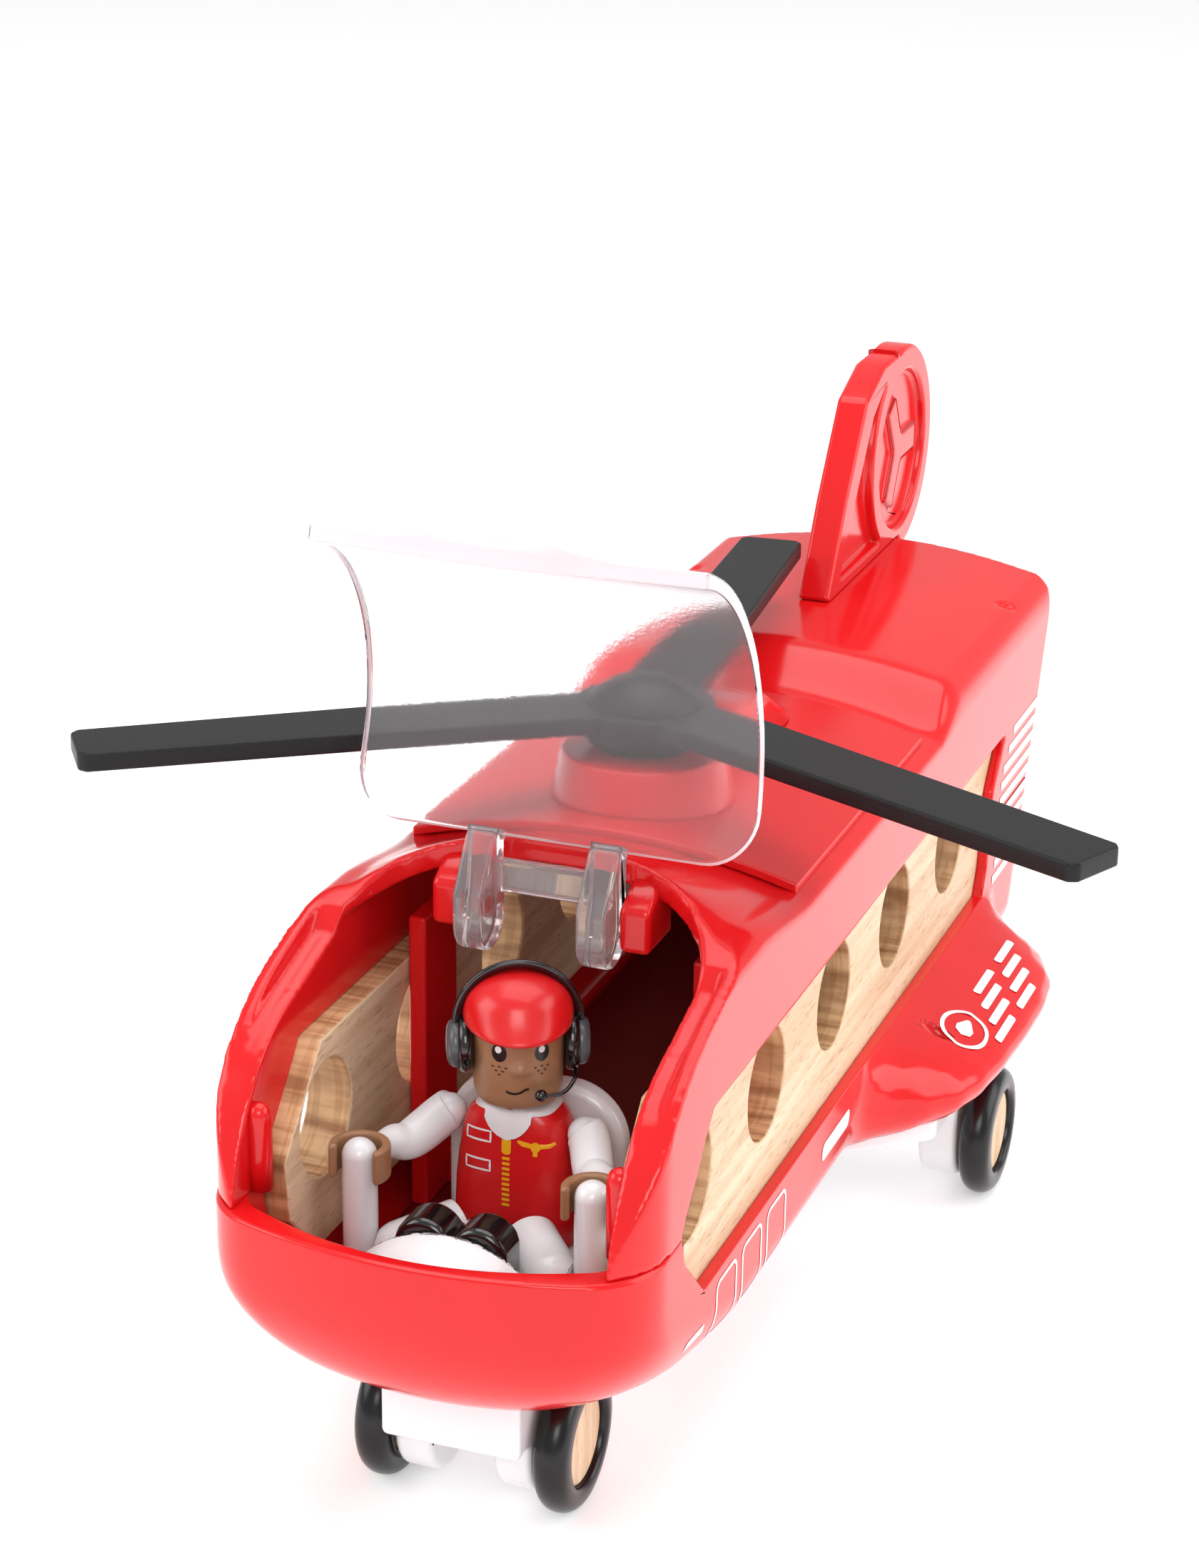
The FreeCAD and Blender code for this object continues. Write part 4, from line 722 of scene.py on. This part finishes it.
# %% Tyres
TYRE, RIM, TYRE_HALF, TREAD_ROUND = 11.6, 7.4, 2.8, 2.7
tyre_profile = []
for i in range(17):
    a = math.pi * (i / 16)
    tread = TYRE - TREAD_ROUND + TREAD_ROUND * math.sin(a) ** 0.8
    tyre_profile.append((tread, -TYRE_HALF * math.cos(a)))
tyre_profile += [(RIM + 0.5, TYRE_HALF), (RIM + 0.1, TYRE_HALF - 0.5), (RIM, TYRE_HALF - 1.2)]
tyre_profile += [(RIM, 1.2 - TYRE_HALF), (RIM + 0.1, 0.5 - TYRE_HALF), (RIM + 0.5, -TYRE_HALF)]
for end in ("front", "rear"):
    for side in ("left", "right"):
        node = "tyre_%s_%s" % (end, side)
        low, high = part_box(node)
        centre = (Vector(low) + Vector(high)) / 2 / MM
        rings = [[(centre.x + p.z, centre.y + p.y, centre.z + p.x) for p in ring]
                 for ring in lathe_rings(tyre_profile, 72)]
        tyre = link(node + "_rubber", skin_mesh(node, rings, loop=True), tyre_black)
        hand_over(tyre, end + "_wheels", "black_tyre", node)
print("tyres: four")

# %% [markdown]
# ## The frosted windscreen
# The windscreen is one curved sheet about two millimetres thick. Its hinge corners are round,
# its free edge bows forward, and a thick lip swells in the middle to give a finger grip. The
# sheet is a grid of points: angle round the curve one way, across the width the other way. The
# edges are a second, pinker finish, because clear plastic gathers its colour there.

# %% Windscreen
SCREEN_PLACE = (-70.1, 116.3)
SCREEN_OUTER, SCREEN_THICK, GRIP_SWELL = 33.6, 2.0, 2.2
HINGE_ANGLE, HINGE_HALF, LIP_HALF, HINGE_CORNER, LIP_BOW = -35.0, 32.6, 30.5, 8.0, 4.8


def lip_angle(across):
    reach = 0.285 - LIP_BOW / SCREEN_OUTER * (1 - across * across)
    return math.degrees(math.acos(reach))


def screen_point(across, along, thick):
    """across -1..1, along 0 at the hinge to 1 at the lip, thick 0 inside to 1 outside."""
    x_lip = across * LIP_HALF
    start = HINGE_ANGLE
    edge = HINGE_HALF - HINGE_CORNER
    x_hinge = across * HINGE_HALF
    if abs(x_hinge) > edge:
        over = (abs(x_hinge) - edge) / HINGE_CORNER
        start += math.degrees(HINGE_CORNER * (1 - math.sqrt(max(1 - over * over, 0))) / SCREEN_OUTER) * 1.15
    angle = start + (lip_angle(across) - start) * along
    height = math.sin(math.radians(angle))
    fade = min(max((height + 0.57) / 1.57, 0), 1)
    x = x_hinge + (x_lip - x_hinge) * fade
    near_lip = max((along - 0.90) / 0.10, 0.0)
    swell = GRIP_SWELL * math.cos(min(abs(x) / 19.0, 1) * math.pi / 2) ** 1.4 + 0.35
    radius = SCREEN_OUTER - SCREEN_THICK * (1 - thick)
    radius += swell * near_lip ** 1.6 * (1 if thick > 0.5 else -0.1)
    a = math.radians(angle)
    return Vector((x, SCREEN_PLACE[0] + radius * math.cos(a), SCREEN_PLACE[1] + radius * math.sin(a)))


ACROSS, ALONG = 48, 64
stations = [math.sin(math.pi / 2 * (2 * i / ACROSS - 1)) for i in range(ACROSS + 1)]
rows = [1 - (1 - j / ALONG) ** 1.25 for j in range(ALONG + 1)]
rings = [[screen_point(s, a, 1) for s in stations] + [screen_point(s, a, 0) for s in reversed(stations)]
         for a in rows]
sheet_mesh = skin_mesh("windscreen_sheet", rings, capped=False)
ring_size = 2 * (ACROSS + 1)
shape = bmesh.new()
shape.from_mesh(sheet_mesh)
shape.verts.ensure_lookup_table()
for row in (0, ALONG):
    for i in range(ACROSS):
        corners = (i, i + 1, ring_size - 2 - i, ring_size - 1 - i)
        shape.faces.new([shape.verts[row * ring_size + c] for c in corners])
bmesh.ops.recalc_face_normals(shape, faces=shape.faces)
for face in shape.faces:
    spots = [v.index for v in face.verts]
    on_lip = min(s // ring_size for s in spots) >= ALONG - 2
    on_hinge = max(s // ring_size for s in spots) == 0
    on_side = all(s % ring_size in (0, ACROSS, ACROSS + 1, ring_size - 1) for s in spots)
    face.material_index = 1 if on_lip or on_hinge or on_side else 0
shape.to_mesh(sheet_mesh)
shape.free()
screen = link("windscreen_sheet", sheet_mesh, frosted)
screen.data.materials.append(frosted_rim)
soften(screen, 0.35, 50.0, 3)
hand_over(screen, "canopy", "frosted_clear", "canopy_screen")
print("windscreen faces:", len(screen.data.polygons))

# %% [markdown]
# ## Seat and instrument console
# The seat has a high back with big round shoulders. The black console is one block whose top
# is two soft humps with a valley between. Both are outlines with thickness, then bevelled.

# %% Seat and console
PILOT_Y, FLOOR_TOP = -55.1, 29.0
SEAT_HALF, SEAT_CORNER, SEAT_BEND = 14.6, 9.5, 50.2
seat_line = [(-SEAT_HALF, FLOOR_TOP)]
for i in range(13):
    a = math.pi / 2 * i / 12
    seat_line.append((-SEAT_HALF + SEAT_CORNER * (1 - math.cos(a)), SEAT_BEND + SEAT_CORNER * math.sin(a)))
seat_line += [(-x, z) for x, z in reversed(seat_line)]
seat_back = [[(x, PILOT_Y + y, z) for x, z in seat_line] for y in (6.9, 9.2, 11.4)]
seat = link("seat_back", skin_mesh("seat_back", seat_back), white_gloss)
soften(seat, 1.5, 40.0, 5)
hand_over(seat, "airframe", "white_moulding", "seat")
bench_top = FLOOR_TOP + 7.9
cushion_line = [(-SEAT_HALF, FLOOR_TOP), (SEAT_HALF, FLOOR_TOP)]
cushion_line += [(SEAT_HALF, bench_top), (-SEAT_HALF, bench_top)]
cushion = [[(x, PILOT_Y + y, z) for x, z in cushion_line] for y in (-8.8, 6.5)]
bench = link("seat_bench", skin_mesh("seat_bench", cushion), white_gloss)
soften(bench, 1.6, 40.0, 5)
hand_over(bench, "airframe", "white_moulding")
CONSOLE_HALF, CONSOLE_FOOT = 8.9, FLOOR_TOP + 9.2
HUMP_X, HUMP_Z, HUMP_RADIUS = 4.4, 47.0, 4.6
console_line = [(-CONSOLE_HALF, CONSOLE_FOOT)]
for i in range(41):
    x = -CONSOLE_HALF + 2 * CONSOLE_HALF * i / 40
    console_line.append((x, HUMP_Z + math.sqrt(max(HUMP_RADIUS ** 2 - (abs(x) - HUMP_X) ** 2, 0.02))))
console_line.append((CONSOLE_HALF, CONSOLE_FOOT))
console = [[(x, y, z) for x, z in console_line] for y in (-82.5, -75.7)]
block = link("console_block", skin_mesh("console_block", console), gloss_black)
soften(block, 1.1, 40.0, 4)
hand_over(block, "airframe", "black_console", "instrument_console")
print("seat, bench and console")

# %% [markdown]
# ## The pilot's head
# The head is a slightly tapered drum that leans on the neck peg. It is turned towards the left
# seat, so everything is modelled facing the nose and then turned. The face is printed: each
# mark is a thin patch that lies a few hundredths of a millimetre above the skin.

# %% Head, cap and headset
HEAD_TURN = Matrix.Rotation(math.radians(25.0), 3, "Z")


def on_neck(point):
    return HEAD_TURN @ Vector(point) + Vector((0, PILOT_Y, 0))


def head_radius(z):
    return eased([(60.6, 5.4), (61.2, 6.3), (62.6, 6.75), (66, 6.95), (72, 7.15), (77, 7.2)], z)


head_profile = [(4.2, 60.62), (5.4, 60.66), (6.05, 60.95), (6.45, 61.5), (6.75, 62.6)]
head_profile += [(head_radius(z), z) for z in (64, 66, 68, 70, 72, 74, 76.8)]


def nose_push(point, a):
    facing = math.cos(a)
    off = Vector((point.x / 1.25, (point.z - 67.7) / 0.85))
    bump = 0.75 * math.exp(-off.length_squared) if facing > 0 else 0.0
    return point + Vector((0, -bump, 0))


fine = []
for (r0, z0), (r1, z1) in zip(head_profile, head_profile[1:]):
    steps = max(int((z1 - z0) / 0.4), 1)
    fine += [(r0 + (r1 - r0) * k / steps, z0 + (z1 - z0) * k / steps) for k in range(steps)]
fine.append(head_profile[-1])
rings = [[on_neck(p) for p in ring] for ring in lathe_rings(fine, 96, nose_push)]
head = link("pilot_face", skin_mesh("pilot_face", rings), skin)
hand_over(head, "pilot_head_group", "skin", "pilot_head")

CAP, BRIM, CAP_TOP = 8.4, 73.6, 81.0
cap_profile = [(7.25, BRIM + 0.1), (7.9, BRIM - 0.15), (8.3, BRIM - 0.05), (CAP, BRIM + 0.4)]
for i in range(1, 25):
    t = math.sin(math.pi / 2 * i / 24)
    cap_profile.append((CAP * (1 - t ** 2.35) ** (1 / 2.2) + 0.02, BRIM + 0.4 + (CAP_TOP - BRIM - 0.4) * t))


def visor_push(point, a):
    """The peak grows out of the front of the dome and dips a little."""
    low = max(1 - (point.z - BRIM) / 3.6, 0.0)
    front = max(math.cos(a), 0.0) ** 1.3
    reach = 2.3 * front * low ** 1.8
    if math.hypot(point.x, point.y) < 7.4:
        reach = 0.0
    return point + Vector((0, -reach, -0.35 * front * low * low))


rings = [[on_neck(p) for p in ring] for ring in lathe_rings(cap_profile, 96, visor_push)]
cap = link("pilot_cap_dome", skin_mesh("pilot_cap_dome", rings), cap_red)
hand_over(cap, "pilot_head_group", "cap_red", "pilot_cap")

CUP_Z = 69.4
BAND_X, BAND_RISE, BAND_BEND = 9.1, 9.15, 73.0
half_turn = [math.pi * k / 28 for k in range(29)]
arch = [Vector((BAND_X * math.cos(a), 0.0, BAND_BEND + BAND_RISE * math.sin(a))) for a in half_turn]
arch = [Vector((BAND_X, 0.0, CUP_Z))] + arch + [Vector((-BAND_X, 0.0, CUP_Z))]
strap = [[on_neck(p) for p in ring] for ring in tube_rings(arch, [0.62] * len(arch), 16, 1.9)]


def cup_rings(side, profile, tall=1.0):
    """A cup turned about the ear's own axis: (radius, distance from the head's middle)."""
    out = []
    for radius, reach in profile:
        ring = []
        for k in range(48):
            a = 2 * math.pi * k / 48
            ring.append(on_neck((side * reach, radius * math.cos(a), CUP_Z + radius * math.sin(a) * tall)))
        out.append(ring)
    return out


EAR_PAD = [(3.2, 7.0), (3.9, 7.05), (4.35, 7.5), (4.45, 8.2), (4.2, 8.9), (3.5, 9.25)]
EAR_SHELL = [(3.6, 9.0), (3.75, 9.3), (3.7, 9.9), (3.3, 10.5), (2.4, 10.85), (1.2, 10.95)]
pads = []
for side in (-1, 1):
    pads.append(cup_rings(side, EAR_PAD, 1.04))
    grey = cup_rings(side, EAR_SHELL)
    shell = link("ear_shell_%d" % side, skin_mesh("ear_shell_%d" % side, grey), cup_grey)
    hand_over(shell, "pilot_head_group", "headset_black")
boom_points = [(8.6, -1.5, CUP_Z - 3.4), (8.3, -4.6, 65.2), (6.4, -7.0, 64.0), (3.6, -8.2, 64.1)]
boom_path = smooth_path([Vector(p) for p in boom_points], 8)
boom = [[on_neck(p) for p in ring] for ring in tube_rings(boom_path, [0.33] * len(boom_path), 12)]
MIC_RADIUS = 0.95
mic_profile = []
for k in range(13):
    a = math.pi * k / 12
    mic_profile.append((MIC_RADIUS * math.sin(a) + 0.02, -MIC_RADIUS * math.cos(a)))
mic = [[on_neck(p + Vector((3.0, -8.1, 64.1))) for p in ring] for ring in lathe_rings(mic_profile, 24)]
whole = bmesh.new()
for part in [strap, boom, mic] + pads:
    whole.from_mesh(skin_mesh("headset_part", part))
headset_mesh = bpy.data.meshes.new("headset_black_parts")
whole.to_mesh(headset_mesh)
whole.free()
headset = link("headset_band", headset_mesh, gloss_black)
hand_over(headset, "pilot_head_group", "headset_black", "pilot_headset")
print("head, cap and headset")

# %% [markdown]
# ## Printed marks
# Printing on a toy is a film of ink on a curved surface. A patch is a small fan of rings that
# shrink to the middle, so it follows the curve, and a stroke is a ribbon along a line. Both
# take a function that lays flat coordinates on the real surface.

# %% Patches and strokes
def patch(shape, outline, lay, steps=5):
    """A filled, star-shaped mark."""
    middle = (sum(p[0] for p in outline) / len(outline), sum(p[1] for p in outline) / len(outline))
    centre = shape.verts.new(lay(*middle) * MM)
    rings = []
    for k in range(1, steps + 1):
        t = k / steps
        smaller = [(middle[0] + (u - middle[0]) * t, middle[1] + (v - middle[1]) * t) for u, v in outline]
        rings.append([shape.verts.new(lay(u, v) * MM) for u, v in smaller])
    count = len(outline)
    for i in range(count):
        shape.faces.new((centre, rings[0][i], rings[0][(i + 1) % count]))
    for inner, outer in zip(rings, rings[1:]):
        for i in range(count):
            j = (i + 1) % count
            shape.faces.new((inner[i], outer[i], outer[j], inner[j]))


def stroke(shape, line, width, lay, closed=False):
    """A ribbon of even width along a line of flat points."""
    dense = []
    pairs = list(zip(line, line[1:])) + ([(line[-1], line[0])] if closed else [])
    for (u0, v0), (u1, v1) in pairs:
        steps = max(int(math.hypot(u1 - u0, v1 - v0) / 0.8), 1)
        dense += [(u0 + (u1 - u0) * k / steps, v0 + (v1 - v0) * k / steps) for k in range(steps)]
    if not closed:
        dense.append(line[-1])
    sides = []
    for i, (u, v) in enumerate(dense):
        before = dense[i - 1] if i or closed else dense[0]
        after = dense[(i + 1) % len(dense)] if closed or i + 1 < len(dense) else dense[-1]
        du, dv = after[0] - before[0], after[1] - before[1]
        size = math.hypot(du, dv) or 1.0
        nu, nv = -dv / size * width / 2, du / size * width / 2
        sides.append((shape.verts.new(lay(u + nu, v + nv) * MM), shape.verts.new(lay(u - nu, v - nv) * MM)))
    for (a, b), (c, d) in zip(sides, sides[1:] + (sides[:1] if closed else [])):
        shape.faces.new((a, b, d, c))


def oval(u, v, half_u, half_v, points=28):
    return [(u + half_u * math.cos(2 * math.pi * k / points), v + half_v * math.sin(2 * math.pi * k / points))
            for k in range(points)]


def soft_box(u, v, half_u, half_v, corner, slant=0.0):
    """A box with round corners; slant leans it."""
    line = []
    for cu, cv, first in ((1, 1, 0), (-1, 1, 90), (-1, -1, 180), (1, -1, 270)):
        for k in range(5):
            a = math.radians(first + 22.5 * k)
            pu = cu * (half_u - corner) + corner * math.cos(a)
            pv = cv * (half_v - corner) + corner * math.sin(a)
            line.append((u + pu + slant * pv, v + pv))
    return line


def printed(name, shape, material, body, slot):
    bmesh.ops.recalc_face_normals(shape, faces=shape.faces)
    mesh = bpy.data.meshes.new(name)
    shape.to_mesh(mesh)
    shape.free()
    return hand_over(link(name, mesh, material), body, slot)


def on_face(proud):
    """Lays (millimetres round the face, height) on the drum of the head."""
    def lay(u, z):
        a = u / 7.1
        radius = head_radius(z) + proud
        return on_neck((radius * math.sin(a), -radius * math.cos(a), z))
    return lay


EYE_OUT, EYE_Z, FRECKLE_Z, SMILE_Z = 3.35, 70.5, 68.1, 64.25
ink = bmesh.new()
shine = bmesh.new()
for side in (-1, 1):
    patch(ink, oval(side * EYE_OUT, EYE_Z, 1.22, 1.5), on_face(0.05))
    patch(shine, oval(side * EYE_OUT - 0.1, EYE_Z + 0.55, 0.52, 0.58), on_face(0.09))
smile = []
for k in range(13):
    dip = 0.55 * math.sin(math.pi * min(k / 10, 1)) ** 0.8
    smile.append((-2.3 + 3.6 * k / 12, SMILE_Z - dip + 0.03 * k))
stroke(ink, smile, 0.36, on_face(0.05))
printed("face_print_black", ink, print_black, "pilot_head_group", "headset_black")
printed("face_print_shine", shine, print_white, "pilot_head_group", "white_moulding")
dots = bmesh.new()
for side in (-1, 1):
    for du, dz in ((-1.1, 0.0), (0.0, 0.1), (1.1, 0.0), (-0.55, -0.62), (0.55, -0.62), (0.0, -1.2)):
        patch(dots, oval(side * EYE_OUT + du, FRECKLE_Z + dz, 0.27, 0.15, 12), on_face(0.05), 2)
printed("face_print_freckles", dots, print_brown, "pilot_head_group", "skin")
print("face: eyes, freckles and a smile")

# %% [markdown]
# ## The pilot's body
# The body is a soft block that widens to the waist. The vest is the block itself; the white
# neck of the shirt, the zip, the two pockets and the small wings are printed on it.

# %% Vest and shirt
CHEST = [(37.2, 9.6, 5.2), (41, 9.8, 5.5), (46, 9.6, 5.6), (50, 9.2, 5.5), (53.5, 8.7, 5.3), (56, 8.25, 5.1),
         (57.8, 7.6, 4.9), (59.0, 6.5, 4.6), (59.7, 5.3, 4.3), (60.0, 4.0, 3.6)]
SQUARENESS, NECK_Z, COLLAR_PROUD = 0.62, CHEST[-1][0], 0.2


def chest_point(a, z, proud=0.0):
    """A point of the rounded block: the angle is measured from the front."""
    half = eased([(h, w) for h, w, d in CHEST], z) + proud
    deep = eased([(h, d) for h, w, d in CHEST], z) + proud
    s, c = math.sin(a), math.cos(a)
    return Vector((half * math.copysign(abs(s) ** SQUARENESS, s),
                   PILOT_Y + 0.5 - deep * math.copysign(abs(c) ** SQUARENESS, c), z))


def on_chest(u, z):
    """Lays (sideways, height) on the front of the block."""
    half = eased([(h, w) for h, w, d in CHEST], z)
    ratio = min(abs(u) / half, 0.999)
    a = math.asin(ratio ** (1 / SQUARENESS))
    return chest_point(math.copysign(a, u), z, 0.07)


heights = [CHEST[0][0] + 0.5 * k for k in range(46)] + [NECK_Z]
rings = [[chest_point(2 * math.pi * k / 96, z) for k in range(96)] for z in heights]
torso = link("pilot_vest_block", skin_mesh("pilot_vest_block", rings), cap_red)
hand_over(torso, "airframe", "vest", "pilot_torso")
collar = bmesh.new()
columns = []
for k in range(97):
    a = 2 * math.pi * k / 96 - math.pi
    low = 59.2 - 4.3 * max(1 - abs(a) / 0.42, 0.0) ** 0.9
    column = [chest_point(a, low + (NECK_Z - low) * j / 10, COLLAR_PROUD) for j in range(11)]
    columns.append([collar.verts.new(point * MM) for point in column])
for first, second in zip(columns, columns[1:]):
    for j in range(10):
        collar.faces.new((first[j], second[j], second[j + 1], first[j + 1]))
printed("shirt_neck", collar, shirt_white, "airframe", "shirt")
lines = bmesh.new()
for z in (55.0, 50.2):
    pocket = [(-6.7, z - 0.85), (-2.6, z - 0.85), (-2.6, z + 0.85), (-6.7, z + 0.85)]
    stroke(lines, pocket, 0.34, on_chest, closed=True)
printed("vest_print_pockets", lines, print_white, "airframe", "shirt")
gold = bmesh.new()
patch(gold, soft_box(0.0, 54.0, 0.75, 1.45, 0.6), on_chest)
for k in range(10):
    patch(gold, soft_box(0.0, 51.9 - 0.86 * k, 0.62, 0.24, 0.1), on_chest, 2)
WINGS_U = 4.6
WING = [(0.5, 54.9), (2.7, 55.25), (2.9, 54.9), (2.1, 54.35), (0.5, 54.15)]
patch(gold, oval(WINGS_U, 54.4, 0.75, 0.8), on_chest)
patch(gold, soft_box(WINGS_U, 53.4, 0.36, 0.5, 0.15), on_chest, 2)
for side in (-1, 1):
    wing = [(WINGS_U + side * u, v) for u, v in WING]
    patch(gold, wing[::side], on_chest, 3)
printed("vest_print_gold", gold, print_yellow, "airframe", "vest")
print("vest, shirt neck and prints")

# %% [markdown]
# ## Arms and hands
# The sleeves are smooth tapering tubes that bend at the elbow. The hands are the toy's own
# kind of grip: a thick C that snaps on the stick, open towards the nose.

# %% Sleeves and grips
SHOULDER_Z, STICK_X, STICK_Y, HAND_Z = 55.6, 18.7, -72.4, 54.2
GRIP_INNER, GRIP_OUTER, GRIP_HALF = 3.35, 4.75, 2.75
SLEEVE_LINE = [(10.2, PILOT_Y + 0.1, SHOULDER_Z + 1.0), (12.0, PILOT_Y - 1.0, SHOULDER_Z - 0.2),
               (14.9, PILOT_Y - 6.8, SHOULDER_Z - 2.3), (16.6, STICK_Y + 7.6, HAND_Z - 0.3),
               (17.6, STICK_Y + 4.5, HAND_Z)]
SLEEVE_RADIUS = [(0.0, 2.45), (0.14, 3.25), (0.4, 3.2), (0.7, 2.7), (0.92, 2.15), (1.0, 2.05)]
SHOULDER_DOME = [(1.5, 0.15), (1.35, 0.9), (1.0, 1.6), (0.5, 2.1)]


def grip_arc(radius, first, sweep):
    angles = [math.radians(first + sweep * k / 24) for k in range(25)]
    return [(radius * math.cos(a), radius * math.sin(a)) for a in angles]


for side, sign in (("left", 1), ("right", -1)):
    path = smooth_path([Vector(p) for p in SLEEVE_LINE], 8)
    radii = [eased(SLEEVE_RADIUS, i / (len(path) - 1)) for i in range(len(path))]
    path = [Vector((p.x * sign, p.y, p.z)) for p in path]
    back_step = (path[1] - path[0]).normalized()
    domed_path = [path[0] - back_step * reach for reach, _ in SHOULDER_DOME] + path
    sleeve_rings = tube_rings(domed_path, [radius for _, radius in SHOULDER_DOME] + radii, 32)
    sleeve = link("sleeve_" + side, skin_mesh("sleeve_" + side, sleeve_rings), shirt_white)
    hand_over(sleeve, "pilot_%s_arm" % side, "shirt", "pilot_arm_" + side)
    line = grip_arc(GRIP_OUTER, -38, 256) + grip_arc(GRIP_INNER, -146, -248)
    palm = [[(sign * STICK_X + u * sign, STICK_Y + v, HAND_Z + z) for u, v in line]
            for z in (-GRIP_HALF, GRIP_HALF)]
    grip = link("grip_" + side, skin_mesh("grip_" + side, palm), skin)
    soften(grip, 0.55, 45.0, 4)
    hand_over(grip, "pilot_%s_arm" % side, "skin")
print("sleeves and grips: two of each")

# %% [markdown]
# ## Marks on the fuselage
# White ink again: cooling louvres on the tail and on the fairing, a round badge with a drop,
# and a row of empty frames along the lower side. The marks are plain shapes without letters.

# %% Fuselage marks
BADGE_Y, BADGE_DOWN = 42.5, -11.0
DROP = [(-2.2, 0.0), (-1.4, 1.5), (0.2, 1.7), (2.9, 0.5), (3.3, 0.0), (2.9, -0.5), (0.2, -1.7), (-1.4, -1.5)]


def on_side(sign):
    """Lays (along the fuselage, height) on the upright side."""
    return lambda y, z: Vector((sign * (hull_side(y, z) + 0.07), y, z))


TAIL_MARK_START = [(41.0, 97.5), (46.0, 99.0), (60.5, 101.0), (69.4, 109.5)]


def on_pod(sign):
    """Lays (along the fuselage, minus the distance down the fairing's slope)."""
    def lay(y, down):
        z, left = POD_TOP, -down
        while left > 0 and z > 25:
            step = math.hypot(hull_side(y, z - 0.1) - hull_side(y, z), 0.1)
            z, left = z - 0.1 * min(left / step, 1), left - step
        return Vector((sign * (hull_side(y, z) + 0.13), y, z + 0.09))
    return lay


for side, sign in (("left", 1), ("right", -1)):
    marks = bmesh.new()
    lay = on_side(sign)
    for y in (-58.0, -45.8, -33.6):
        stroke(marks, soft_box(y, 33.8, 4.6, 4.9, 1.6), 0.62, lay, closed=True)
    patch(marks, soft_box(-71.0, 34.0, 3.4, 0.8, 0.5, 0.15), lay, 3)
    patch(marks, soft_box(-1.5, 35.0, 7.6, 1.5, 1.2, 0.2), lay, 4)
    pod = on_pod(sign)
    stroke(marks, oval(BADGE_Y, BADGE_DOWN, 5.6, 4.2, 48), 0.8, pod, closed=True)
    patch(marks, [(BADGE_Y + u, BADGE_DOWN + v) for u, v in DROP], pod, 4)
    for column in range(2):
        for row in range(4):
            along = 61.4 - 3.4 * row + 14.7 * column
            patch(marks, soft_box(along, -9.2 - 2.6 * row, 5.2, 0.75, 0.5), pod, 6)
    for row in range(10):
        z = 68.2 - 2.95 * row
        end = TAIL_FOOT + (z - BOTTOM) * TAIL_LEAN - 2.2
        start = eased(TAIL_MARK_START, z) + 1.2
        if z > SEAM + 1.4 or z < SEAM - 1.0:
            patch(marks, soft_box((start + end) / 2, z, (end - start) / 2, 0.85, 0.4), lay, 6)
    printed("fuselage_marks_" + side, marks, print_white, "airframe", "white_moulding")
print("marks on both sides")

# %% [markdown]
# ## Sizes
# The box round every shown piece is printed in millimetres. The looks must stay inside
# the frame's box.

# %% Finish
low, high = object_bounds()
print("box in mm:", [round((b - a) * 1000, 1) for a, b in zip(low, high)])
